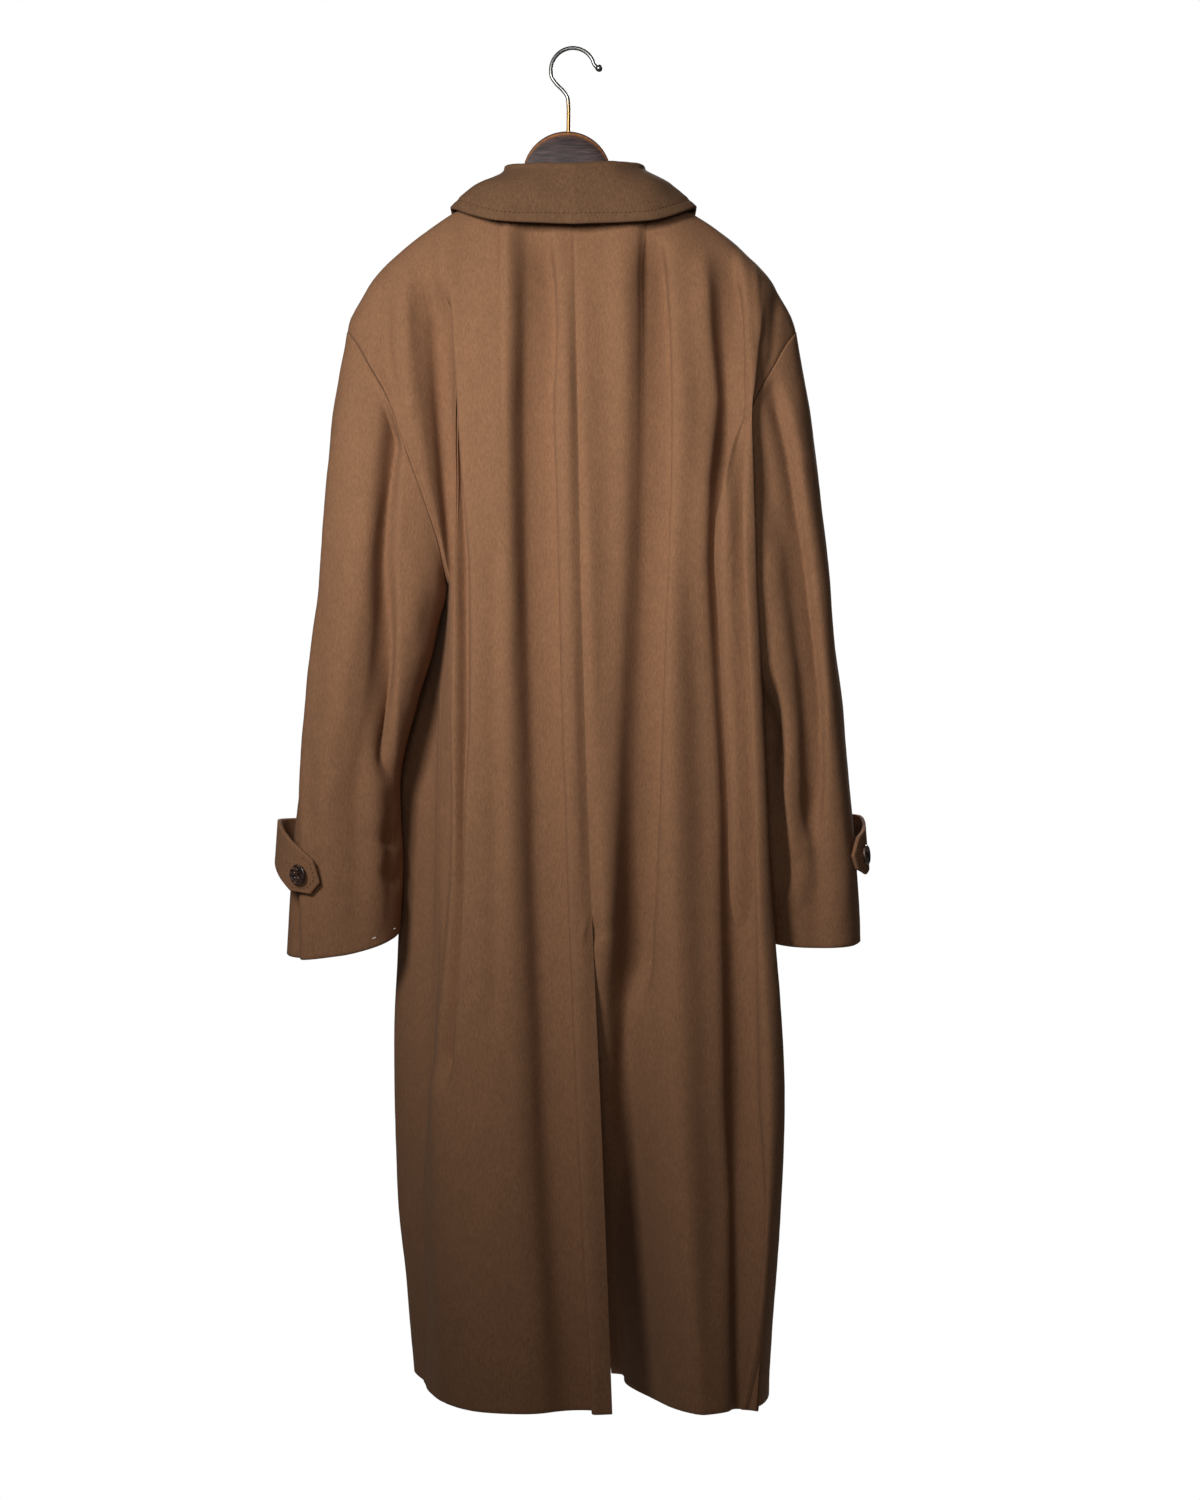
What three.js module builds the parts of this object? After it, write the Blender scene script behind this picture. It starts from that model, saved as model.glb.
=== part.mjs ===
// A wool overcoat hung on a wooden hanger.
// Millimetres, +Z up. The coat's front faces -Y, its back +Y, and the wearer's left is +X.
// The origin is the inner top of the hanger's hook, where a rail or peg holds it.
import * as THREE from 'three';
import { mergeVertices } from 'three/addons/utils/BufferGeometryUtils.js';

// Cloth
const WALL = 2.5;
const COLLAR_WALL = 3;
const TAB_WALL = 3.5;
const SEAM = 0.36;
const OVERLAP_DROP = 4.6;

// Neck, shoulders and armholes
const NECK_HALF = 72;
const NECK_POINT_Z = -138;
const NECK_BACK_DROP = 17;
const NECK_FRONT_DROP = 67;
const NECK_BACK_DEPTH = 28;
const NECK_FRONT_DEPTH = 28;
const NECK_SEAM_Y = -5;
const NECK_SQUARE = 2.5;
const TIP_HALF = 229;
const TIP_Y = -14;
const TIP_Z = -280;
const UNDERARM_Y = -7;
const UNDERARM_Z = -535;
const ARMHOLE_DEPTH = 46;
const ARMHOLE_SCOOP = 6;
const RIGHT_SHARE = 0.97;
const SHOULDER_ROUND = 58;

// Hem and vent
const HEM_BACK_Z = -1338;
const HEM_FRONT_Z = -1330;
const HEM_SIDE_Z = -1334;
const VENT_TOP = 0.567;
const LAP_WIDTH = 22;
const LAP_DEEP = 180;
const LAP_CURVE = 1.7;
const LAP_NARROWS = 0.2;

// Grid of the body: rows down each panel and columns between two fold lines
const ARM_STEPS = 9;
const ARM_SHARE = 0.2413;
const VENT_ROWS = [0.547, VENT_TOP, 0.59];
const UPPER_STEPS = 6;
const LOWER_STEPS = 6;
const COLUMNS_PER_FOLD = 2;
const TOP_FADE = 10;
const SLEEVE_ROWS = 17;

// Sleeve heads: the gap to the body, its way at the shoulder tip, and how far down they settle
const TIP_GAP = 0.9;
const UNDERARM_GAP = 1.4;
const TIP_OUT = 0.45;
const TIP_DOWN = 0.89;
const TIP_DIP = 0.4;
const TIP_SETTLE = 230;
const UNDERARM_SETTLE = 46;
const UNDERARM_BLEND = 0.2;
const FACING = 0.5;

// Collar
const ROLL_RADIUS = 6.5;
const COLLAR_COLUMNS = 28;
const COLLAR_INSET = 2.2;
const COLLAR_LIFT = 2.3;
const COLLAR_FRONT_LIFT = 3.5;
const FALL_BULGE = { share: [0.35, 0.7], out: [2.5, 1.5] };

// Buttons: reach is a share of the radius, from the rim's back to the middle of the face
const FRONT_BUTTON = 12.5;
const CUFF_BUTTON = 10;
const FRONT_BUTTON_AT = [0.06, 0.164, 0.28, 0.431];
const BUTTON_POST = 1.8;
const BUTTON_SEAT = 0.2;
const BUTTON = { reach: [0.8, 1, 0.94, 0.74, 0], high: [1, 2.4, 4.2, 3.6, 3.4] };

// Hanger
const HANGER_HALF = 190;
const HANGER_THICK = 12;
const HANGER_MIDDLE_LOW = -172;
const HANGER_END_LOW = -238;
const HANGER_NECK_RISE = 0.1;
const HANGER_TAPER_FROM = 0.94;
const HANGER_END_THICK = 0.35;
const HANGER_END_HIGH = 0.5;
const ARM_ROOM = 1.6;
const ARM_END_ROOM = 2.6;
const HUMP_BACK = 1.5;
const HUMP_X = 8;
const HUMP_RADIUS = 44.5;
const HUMP_TOP_Z = -81;
const WIRE_RADIUS = 2;
const BALL_RADIUS = 3.6;
const HOOK_X = 2;
const HOOK_RADIUS = 22;
const SHANK_X = 6.5;

const WOOL = { color: 0x6b4a2f, roughness: 0.92, metalness: 0 };
const HORN = { color: 0x2e1d17, roughness: 0.32, metalness: 0 };
const WOOD = { color: 0x35201d, roughness: 0.38, metalness: 0 };
const STEEL = { color: 0x9a9a96, roughness: 0.25, metalness: 1 };

// Shoulder seam: how far out, and its height
const SHOULDER = {
  out: [72, 100, 134, 162, 186, 203, 215, 224, 229],
  z: [-138, -152, -171, -190, -211, -230, -250, -266, -280],
};

// Armhole edge: height, and how far out
const ARMHOLE = {
  z: [-280, -296, -315, -350, -400, -450, -500, -535],
  out: [229, 217, 206, 186, 168, 150, 134, 128],
};

// Body sections: height, left and right reach, back and front depth
const BODY = {
  z: [-150, -280, -400, -550, -700, -850, -1000, -1200, -1338],
  left: [200, 232, 205, 150, 160, 168, 180, 175, 160],
  right: [-195, -224, -205, -195, -195, -202, -208, -203, -193],
  back: [20, 36, 46, 56, 65, 75, 86, 100, 110],
  front: [-14, -44, -56, -68, -80, -90, -100, -112, -120],
};
const BODY_SIDE_Y = -5;
const BODY_SQUARE = 3.2;

// Side seams: height, place across and depth
const LEFT_SEAM = {
  z: [-535, -580, -640, -700, -800, -900, -1000, -1150, -1250, -1334],
  x: [128, 129, 134, 136, 137, 138, 141, 153, 156, 153],
  y: [-7, -9, -8, -5, 3, 11, 19, 12, 0, -18],
};
const RIGHT_SEAM = {
  z: [-535, -600, -700, -850, -1000, -1200, -1334],
  x: [-124.2, -136, -147, -160, -178, -185, -185],
  y: [-7, -8, -5, -5, -10, -15, -25],
};

// Fold lines, given at these shares of the way from the top edge to the hem.
// x is the place across, and either out is the rise over the body section or y is the depth itself.
const LEVELS = [0, 0.128, 0.262, 0.497, 0.732, 1];
const LEFT_BACK_FOLDS = {
  seam: { x: [2, -3, -7, -15, -26, -37], out: [2, 6, 7, 7, 8, 6] },
  ridgeB: { x: [16, 11, 9, 6, -4, -18], out: [3, 9, 10, 10, 11, 9] },
  valley1: { x: [45, 48, 44, 37, 27, 8], out: [1, -9, -11, -11, -12, -7] },
  ridgeA2: { x: [72, 71, 67, 64, 61, 50], out: [2, 6, 8, 9, 9, 6] },
  ridgeA1: { x: [106, 110, 104, 98, 99, 92], out: [3, 9, 12, 13, 11, 4] },
  edgeA: { x: [132, 128, 122, 125, 137, 125], y: [30, 44, 53, 66, 68, 72] },
  valley0: { x: [150, 134, 123, 129, 143, 144], y: [24, 27, 26, 26, 44, 24] },
};
const RIGHT_RIM_FOLDS = {
  rimD: { x: [-190, -175, -181, -190, -206, -188], y: [24, 48, 56, 64, 67, 58] },
  crestD: { x: [-172, -163, -168, -177, -191, -171], y: [28, 49, 65, 75, 92, 108] },
};
const RIGHT_BACK_FOLDS = {
  ridgeC: { x: [-98, -105, -95, -97, -104, -122], out: [3, 9, 10, 10, 11, 17] },
  valley2: { x: [-70, -68, -65, -57, -49, -54], out: [0, -9, -12, -15, -42, -118] },
};
const LEFT_FRONT_FOLDS = {
  side: { x: [150, 116, 104, 132, 140, 125], out: [2, 3, 5, 7, 6, 4] },
  valley: { x: [132, 92, 84, 98, 100, 92], out: [1, -5, -7, -8, -9, -8] },
  ridge: { x: [106, 62, 60, 62, 60, 58], out: [3, 6, 7, 8, 9, 8] },
  flat: { x: [72, 34, 34, 34, 32, 30], out: [1, 0, 0, 0, 0, 0] },
  centre: { x: [20, 0, 0, 0, 0, 0], out: [0, 0, 0, 0, 0, 0] },
  edge: { x: [-14, -14, -14, -14, -14, -14], out: [0, 0, 0, 0, 0, 0] },
};
const RIGHT_FRONT_FOLDS = {
  edge: { x: [14, 14, 14, 14, 14, 14], out: [0, 0, 0, 0, 0, 0], drop: OVERLAP_DROP },
  under: { x: [-15, -15, -15, -15, -15, -15], out: [0, 0, 0, 0, 0, 0], drop: OVERLAP_DROP },
  flat: { x: [-70, -40, -38, -36, -34, -32], out: [1, 1, -2, -3, -3, -2] },
  ridge: { x: [-98, -64, -66, -70, -66, -62], out: [3, 7, 7, 8, 8, 7] },
  valley: { x: [-142, -92, -92, -104, -104, -98], out: [1, -4, -7, -8, -8, -7] },
  side: { x: [-172, -118, -112, -136, -150, -140], out: [2, 3, 5, 7, 7, 5] },
};

// The left shoulder blade, the right tuck and the valley behind it: height, place across and depth
const LEFT_BLADE = {
  z: [-200, -300, -370, -430, -476, -510, -527, -540, -640, -800, -1000, -1100, -1338],
  x: [174, 163, 152, 144, 134, 128.5, 126, 125, 127, 132, 141.5, 147, 149],
  y: [24, 31, 35, 33, 28, 22, 17, 12, 8, 14, 31, 31, 3],
};
const RIGHT_TUCK = {
  z: [-245, -300, -352, -398, -430, -463, -500, -526, -560, -600, -640, -800, -1000, -1150, -1338],
  x: [-208, -186, -178, -168, -162, -155, -143, -135, -135, -144, -150, -158, -186, -192, -192],
  y: [20, 30, 35, 40, 41, 40.5, 37, 32, 27, 28, 29, 33, 36, 25, 10],
};
const RIGHT_VALLEY = {
  z: [-190, -300, -356, -398, -430, -476, -535, -600, -800, -1000, -1100, -1338],
  x: [-142, -146, -149, -147, -143, -140, -140, -142, -152, -156, -155, -156],
  y: [21, 28, 30, 32, 38, 46, 46, 44, 50, 64, 71, 93],
};

// Where the fronts turn round the sides: height, place across and depth
const LEFT_HIP = {
  z: [
    -200, -300, -405, -500, -560, -600, -650, -700, -740, -800, -880, -1000, -1150, -1240, -1330,
  ],
  x: [174, 164, 134, 127, 139, 147, 162, 175, 181, 178, 179, 184, 180, 171, 163],
  y: [-28, -40, -55, -61, -69, -70, -67, -64, -64, -62, -60, -50, -50, -52, -55],
};
const RIGHT_HIP = {
  z: [-220, -300, -405, -500, -560, -600, -700, -800, -900, -1000, -1150, -1240, -1330],
  x: [-190, -163, -130, -119, -124, -134, -152, -160, -172, -188, -196, -195, -190],
  y: [-28, -40, -55, -55, -52, -50, -46, -45, -48, -52, -58, -62, -66],
};

// Sleeve sections: height, outer and inner edge, back and front depth
const LEFT_SLEEVE = {
  side: 1,
  z: [-280, -380, -535, -600, -650, -740, -820, -909],
  outer: [229, 246, 257, 264, 270, 279, 285, 289],
  inner: [140, 133, 134, 142, 156, 176, 173, 178],
  back: [18, 42, 50, 50, 49, 45, 42, 36],
  front: [-44, -60, -74, -78, -80, -82, -83, -82],
  hem: { middle: -893, outer: -10, back: -10 },
};
const RIGHT_SLEEVE = {
  side: -1,
  z: [-280, -380, -535, -600, -650, -740, -820, -909],
  outer: [-222, -238, -256, -262, -268, -276, -283, -288],
  inner: [-136, -128, -130, -143, -154, -165, -176, -192],
  back: [18, 40, 43, 43, 42, 42, 41, 36],
  front: [-44, -60, -72, -76, -78, -81, -83, -82],
  hem: { middle: -889, outer: -1, back: -6 },
};
const SLEEVE_SQUARE = 2.3;

// Sleeve folds at these heights: turn is the share of the way round from the outer edge by the back
const SLEEVE_LEVELS = [-350, -560, -680, -800, -905];
const LEFT_SLEEVE_FOLDS = [
  { name: 'long valley', turn: [0.27, 0.28, 0.285, 0.29, 0.29], width: 0.05, out: [-3, -8, -9, -8, -3] },
  { name: 'back ridge', turn: [0.2, 0.2, 0.2, 0.21, 0.23], width: 0.05, out: [1, 3, 3, 2, 1] },
  { name: 'pressed edge', turn: [0.06, 0.06, 0.08, 0.13, 0.16], width: 0.03, out: [0, 3, 4, 5, 5] },
  { name: 'outer groove', turn: [0.01, 0.01, 0.02, 0.07, 0.1], width: 0.035, out: [0, -5, -7, -9, -10] },
  { name: 'elbow hollow', turn: [0.4, 0.4, 0.4, 0.42, 0.4], width: 0.05, out: [0, 0, 3, -7, 0] },
];
const RIGHT_SLEEVE_FOLDS = [
  { name: 'long valley', turn: [0.19, 0.195, 0.205, 0.215, 0.25], width: 0.04, out: [-5, -10, -11, -10, -3] },
  { name: 'back ridge', turn: [0.26, 0.27, 0.28, 0.29, 0.3], width: 0.04, out: [1, 3, 4, 2, 1] },
  { name: 'outer ridge', turn: [0.11, 0.11, 0.12, 0.13, 0.14], width: 0.05, out: [1, 2, 3, 3, 1] },
  { name: 'elbow hollow', turn: [0.37, 0.37, 0.37, 0.36, 0.36], width: 0.06, out: [0, -4, -16, -7, 0] },
];

// Collar stations from the centre of the back to the front end, for the wearer's left:
// roll is the top of the fold and edge is the lower edge of the fall
const COLLAR = {
  rollX: [0, 36, 66, 58, 22],
  rollY: [31, 26, -3, -38, -42],
  rollZ: [-119, -117, -114, -146, -180],
  edgeX: [0, 76, 125, 112, 62],
  edgeY: [43, 39, 0, -54, -64],
  edgeZ: [-181, -177, -157, -205, -262],
};

// Sleeve tabs: turns of the root and the end, heights there and in between, and how far they stand off
const TAB_HALF = 21;
const TAB_STEPS = 12;
const TAB_KNOTS = [0, 0.35, 0.72, 1];
const TAB_POINT_FROM = 0.86;
const TAB_POINT_WIDTH = 0.35;
const TAB_BUTTON_AT = 0.85;
const LEFT_TAB = {
  turn: [-0.07, 0.02, 0.12, 0.19],
  z: [-790, -792, -812, -836],
  off: [-0.35, 13.5, 12, 4.5],
  spare: { turn: -0.04, z: -832, off: -0.7 },
};
const RIGHT_TAB = {
  turn: [-0.15, -0.05, 0.04, 0.1],
  z: [-786, -788, -800, -812],
  off: [-0.35, 9, 9, 3.5],
  spare: { turn: -0.1, z: -832, off: -0.1 },
};

// Hook wire on both sides of its round top: place across and height
const HOOK_TIP = [[-27.5, -19.5], [-24.5, -18.4], [-21.5, -17]];
const HOOK_LOWER = [[23.2, -27], [18.5, -34], [12, -40.5], [7.6, -47], [SHANK_X, -55], [SHANK_X, -83]];

const lerp = THREE.MathUtils.lerp;
const clamp = THREE.MathUtils.clamp;
const vector = (x, y, z) => new THREE.Vector3(x, y, z);

function smooth(share) {
  const t = clamp(share, 0, 1);
  return t * t * (3 - 2 * t);
}

// A smooth curve through a table's column, without overshoot between its rows
function curve(places, values) {
  const last = places.length - 1;
  const slopes = [];
  for (let k = 0; k < last; k += 1) {
    slopes.push((values[k + 1] - values[k]) / (places[k + 1] - places[k]));
  }
  const tangents = [slopes[0]];
  for (let k = 1; k < last; k += 1) {
    const product = slopes[k - 1] * slopes[k];
    tangents.push(product > 0 ? (2 * product) / (slopes[k - 1] + slopes[k]) : 0);
  }
  tangents.push(slopes[last - 1]);
  const rising = places[last] > places[0];
  return (place) => {
    const ends = rising ? [places[0], places[last]] : [places[last], places[0]];
    const inside = clamp(place, ...ends);
    let k = 0;
    while (k < last - 1 && (rising ? inside > places[k + 1] : inside < places[k + 1])) {
      k += 1;
    }
    const step = places[k + 1] - places[k];
    const t = (inside - places[k]) / step;
    const start = values[k] * (1 + 2 * t) * (1 - t) ** 2 + tangents[k] * step * t * (1 - t) ** 2;
    return start + values[k + 1] * t * t * (3 - 2 * t) + tangents[k + 1] * step * t * t * (t - 1);
  };
}

// Curves for every column of a table, over its first one
function curves(table, over, columns) {
  return Object.fromEntries(columns.map((column) => [column, curve(table[over], table[column])]));
}

const shoulderZ = curve(SHOULDER.out, SHOULDER.z);
const armholeOut = curve(ARMHOLE.z, ARMHOLE.out);
const body = curves(BODY, 'z', ['left', 'right', 'back', 'front']);

function shoulderY(out) {
  return lerp(NECK_SEAM_Y, TIP_Y, clamp((out - NECK_HALF) / (TIP_HALF - NECK_HALF), 0, 1));
}

// The coat's top edge at a place across it: the neckline, then the shoulder seam
function topEdge(x, face) {
  const out = Math.abs(x) / (x < 0 ? RIGHT_SHARE : 1);
  if (out >= NECK_HALF) {
    return vector(x, shoulderY(out), shoulderZ(out));
  }
  const dip = Math.sqrt(1 - (out / NECK_HALF) ** NECK_SQUARE);
  const drop = face > 0 ? NECK_BACK_DROP : NECK_FRONT_DROP;
  const depth = face > 0 ? NECK_BACK_DEPTH : -NECK_FRONT_DEPTH;
  return vector(x, NECK_SEAM_Y + depth * dip, NECK_POINT_Z - drop * dip);
}

// Depth of the plain body section, on its back (face 1) or front (face -1)
function bodyDepth(x, z, face) {
  const middle = (body.left(z) + body.right(z)) / 2;
  const half = (body.left(z) - body.right(z)) / 2;
  const share = Math.min(1, Math.abs(x - middle) / half);
  const reach = (face > 0 ? body.back(z) : body.front(z)) - BODY_SIDE_Y;
  return BODY_SIDE_Y + reach * (1 - share ** BODY_SQUARE) ** (1 / BODY_SQUARE);
}

// How far the cloth has turned down from the top edge, 0 on it and 1 below the shoulder's round
function shoulderTurn(drop) {
  const left = 1 - clamp(drop / SHOULDER_ROUND, 0, 1);
  return Math.sqrt(1 - left * left);
}

// Height of a row on a line with a given top and hem: all rows are level at the underarm
function rowZ(top, hem, share) {
  if (share <= ARM_SHARE) {
    return lerp(top, UNDERARM_Z, share / ARM_SHARE);
  }
  return lerp(UNDERARM_Z, hem, (share - ARM_SHARE) / (1 - ARM_SHARE));
}

// One fold line of a panel, as a function of the share of the way down
function foldLine(fold, face) {
  const across = curve(LEVELS, fold.x);
  const second = curve(LEVELS, fold.y ?? fold.out);
  const top = topEdge(fold.x[0], face);
  const hem = face > 0 ? HEM_BACK_Z : HEM_FRONT_Z;
  return (share) => {
    const z = rowZ(top.z, hem, share);
    const x = across(share);
    const y = fold.y ? second(share) : bodyDepth(x, z, face) + face * second(share);
    return vector(x, lerp(top.y, y, shoulderTurn(top.z - z)) - face * (fold.drop ?? 0), z);
  };
}

// A line of a panel given by its own heights
function trackLine(track, face) {
  const path = curves(track, 'z', ['x', 'y']);
  const top = topEdge(track.x[0], face);
  return (share) => {
    const z = rowZ(top.z, face > 0 ? HEM_BACK_Z : HEM_FRONT_Z, share);
    return vector(path.x(z), lerp(top.y, path.y(z), shoulderTurn(top.z - z)), z);
  };
}

// Armhole edge: turn 0 is the shoulder tip, 0.25 the back, 0.5 the underarm and 0.75 the front
function armhole(side, turn) {
  const angle = 2 * Math.PI * turn;
  const drop = (1 - Math.cos(angle)) / 2;
  const z = lerp(TIP_Z, UNDERARM_Z, drop);
  const scoop = ARMHOLE_SCOOP * Math.max(0, -Math.sin(angle)) ** 3;
  const share = side > 0 ? 1 : RIGHT_SHARE;
  return vector(
    side * share * (armholeOut(z) - scoop),
    lerp(TIP_Y, UNDERARM_Y, drop) + ARMHOLE_DEPTH * Math.sin(angle),
    z,
  );
}

// The outer edge of a panel: its half of the armhole, then the side seam
function sideLine(seam, side, face) {
  const path = curves(seam, 'z', ['x', 'y']);
  return (share) => {
    if (share <= ARM_SHARE) {
      const turn = Math.acos(clamp(1 - (2 * share) / ARM_SHARE, -1, 1)) / (2 * Math.PI);
      return armhole(side, face > 0 ? turn : 1 - turn);
    }
    const z = rowZ(TIP_Z, HEM_SIDE_Z, share);
    return vector(path.x(z), path.y(z), z);
  };
}

// The right back below the vent: its edge slides under the left back and falls away behind it
function lapLine(inset, reach) {
  const seam = foldLine(LEFT_BACK_FOLDS.seam, 1);
  return (share) => {
    const point = seam(share);
    const under = smooth((share - VENT_ROWS[0]) / (VENT_TOP - VENT_ROWS[0]));
    const slide = smooth((share - VENT_TOP) / (VENT_ROWS[2] - VENT_TOP));
    const fall = clamp((share - VENT_TOP) / (1 - VENT_TOP), 0, 1);
    point.x += reach * slide * (1 - fall) - inset * (1 - LAP_NARROWS * fall);
    point.y -= OVERLAP_DROP * under + LAP_DEEP * fall ** LAP_CURVE;
    return point;
  };
}

// Shares of the way down at which the body's rows lie
function bodyRows() {
  const rows = [];
  for (let k = 0; k <= ARM_STEPS; k += 1) {
    rows.push((ARM_SHARE * (1 - Math.cos((Math.PI * k) / ARM_STEPS))) / 2);
  }
  for (let k = 1; k < UPPER_STEPS; k += 1) {
    rows.push(lerp(ARM_SHARE, VENT_ROWS[0], k / UPPER_STEPS));
  }
  rows.push(...VENT_ROWS);
  for (let k = 1; k <= LOWER_STEPS; k += 1) {
    rows.push(lerp(VENT_ROWS[2], 1, k / LOWER_STEPS));
  }
  return rows;
}

// Grid of a panel: every row is a smooth curve through its lines, and the first is the top edge,
// which the rows below it follow less and less
function panelGrid(lines, face) {
  const steps = (lines.length - 1) * COLUMNS_PER_FOLD;
  const places = Array.from({ length: steps + 1 }, (_, k) => k / COLUMNS_PER_FOLD);
  const rowAt = (share) => {
    const row = new THREE.CatmullRomCurve3(lines.map((line) => line(share)), false, 'centripetal');
    return places.map((place) => row.getPoint(place / (lines.length - 1)));
  };
  const ends = lines.map((line) => line(0));
  const shift = rowAt(0).map((point, c) => topPoint(ends, places[c], face).sub(point));
  return bodyRows().map((share) => {
    const fade = (1 - share) ** TOP_FADE;
    return rowAt(share).map((point, c) => point.addScaledVector(shift[c], fade));
  });
}

// A point of the top edge between two fold lines, with the drop that those lines have from it
function topPoint(points, place, face) {
  const before = points[Math.floor(place)];
  const after = points[Math.ceil(place)];
  const part = place - Math.floor(place);
  const point = topEdge(lerp(before.x, after.x, part), face);
  const drop = (end) => end.y - topEdge(end.x, face).y;
  point.y += lerp(drop(before), drop(after), part);
  return point;
}

// Unit normals of a grid whose columns run clockwise round the form and whose rows run down:
// each is the mean of the quads that meet there, by area
function gridNormals(grid, round) {
  const rows = grid.length;
  const columns = grid[0].length;
  const normals = grid.map((row) => row.map(() => vector(0, 0, 0)));
  const spans = round ? columns : columns - 1;
  for (let r = 0; r < rows - 1; r += 1) {
    for (let c = 0; c < spans; c += 1) {
      const d = (c + 1) % columns;
      const fall = grid[r + 1][d].clone().sub(grid[r][c]);
      const area = fall.cross(grid[r + 1][c].clone().sub(grid[r][d]));
      [normals[r][c], normals[r][d], normals[r + 1][c], normals[r + 1][d]].forEach((n) => n.add(area));
    }
  }
  normals.flat().forEach((normal) => normal.normalize());
  return normals;
}

// Gives two grids one normal along the seam that they share, on the rows given
function weldNormals(first, firstColumn, second, secondColumn, rows) {
  rows.forEach((r) => {
    const shared = first[r].at(firstColumn).clone().add(second[r].at(secondColumn)).normalize();
    first[r].at(firstColumn).copy(shared);
    second[r].at(secondColumn).copy(shared);
  });
}

// Moves a panel's edge points half a seam's gap into the panel
function insetEdges(grid) {
  const half = SEAM / 2;
  const pull = (point, towards) => {
    const way = towards.clone().sub(point).normalize();
    point.addScaledVector(way, half);
  };
  grid.forEach((row) => {
    pull(row[0], row[1]);
    pull(row.at(-1), row.at(-2));
  });
  grid[0].forEach((point, c) => pull(point, grid[1][c]));
}

function meshFrom(name, points, triangles, material) {
  const geometry = new THREE.BufferGeometry();
  const numbers = points.flatMap((point) => point.toArray());
  geometry.setAttribute('position', new THREE.Float32BufferAttribute(numbers, 3));
  geometry.setIndex(triangles.flat());
  const mesh = new THREE.Mesh(geometry, new THREE.MeshStandardMaterial(material));
  mesh.name = name;
  return mesh;
}

// A closed wall: the outer grid, the same grid moved in by the cloth's thickness, and the edges between
function wallMesh(name, grid, normals, thickness, material, round = false) {
  const rows = grid.length;
  const columns = grid[0].length;
  const outer = grid.flat();
  const ways = normals.flat();
  const inner = outer.map((point, k) => point.clone().addScaledVector(ways[k], -thickness));
  const at = (r, c) => r * columns + (c % columns);
  const under = outer.length;
  const triangles = [];
  const quad = (a, b, c, d) => triangles.push([a, b, c], [a, c, d]);
  const spans = round ? columns : columns - 1;
  for (let c = 0; c < spans; c += 1) {
    for (let r = 0; r < rows - 1; r += 1) {
      quad(at(r, c), at(r, c + 1), at(r + 1, c + 1), at(r + 1, c));
      quad(under + at(r, c), under + at(r + 1, c), under + at(r + 1, c + 1), under + at(r, c + 1));
    }
    quad(at(0, c + 1), at(0, c), under + at(0, c), under + at(0, c + 1));
    quad(at(rows - 1, c), at(rows - 1, c + 1), under + at(rows - 1, c + 1), under + at(rows - 1, c));
  }
  for (let r = 0; r < rows - 1 && !round; r += 1) {
    const end = columns - 1;
    quad(at(r, 0), at(r + 1, 0), under + at(r + 1, 0), under + at(r, 0));
    quad(at(r + 1, end), at(r, end), under + at(r, end), under + at(r + 1, end));
  }
  return meshFrom(name, [...outer, ...inner], triangles, material);
}

// The shoulder seam's normals lie in its own upright plane, so that front and back meet there
function levelShoulder(grid, normals) {
  normals[0].forEach((normal, c) => {
    if (Math.abs(grid[0][c].x) > NECK_HALF * RIGHT_SHARE - 1) {
      normal.setY(0).normalize();
    }
  });
}

// The four panels, in order round the body: right back, left back, left front, right front
function bodyPanels() {
  const fold = (face) => (entry) => foldLine(entry, face);
  const lines = {
    back_right: [
      sideLine(RIGHT_SEAM, -1, 1),
      trackLine(RIGHT_TUCK, 1),
      ...Object.values(RIGHT_RIM_FOLDS).map(fold(1)),
      trackLine(RIGHT_VALLEY, 1),
      ...Object.values(RIGHT_BACK_FOLDS).map(fold(1)),
      lapLine(12, 4),
      lapLine(0, LAP_WIDTH),
    ],
    back_left: [
      ...Object.values(LEFT_BACK_FOLDS).map(fold(1)),
      trackLine(LEFT_BLADE, 1),
      sideLine(LEFT_SEAM, 1, 1),
    ],
    front_left: [
      sideLine(LEFT_SEAM, 1, -1),
      trackLine(LEFT_HIP, -1),
      ...Object.values(LEFT_FRONT_FOLDS).map(fold(-1)),
    ],
    front_right: [
      ...Object.values(RIGHT_FRONT_FOLDS).map(fold(-1)),
      trackLine(RIGHT_HIP, -1),
      sideLine(RIGHT_SEAM, -1, -1),
    ],
  };
  const grids = {};
  const normals = {};
  Object.entries(lines).forEach(([name, set]) => {
    grids[name] = panelGrid(set, name.startsWith('back') ? 1 : -1);
    normals[name] = gridNormals(grids[name], false);
    levelShoulder(grids[name], normals[name]);
  });
  const rows = bodyRows();
  const all = rows.map((_, r) => r);
  const aboveVent = all.filter((r) => rows[r] <= VENT_ROWS[0]);
  const sideRows = all.filter((r) => r === 0 || r >= ARM_STEPS);
  weldNormals(normals.back_right, -1, normals.back_left, 0, aboveVent);
  weldNormals(normals.back_left, -1, normals.front_left, 0, sideRows);
  weldNormals(normals.front_right, -1, normals.back_right, 0, sideRows);
  Object.values(grids).forEach(insetEdges);
  return { grids, normals };
}

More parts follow.
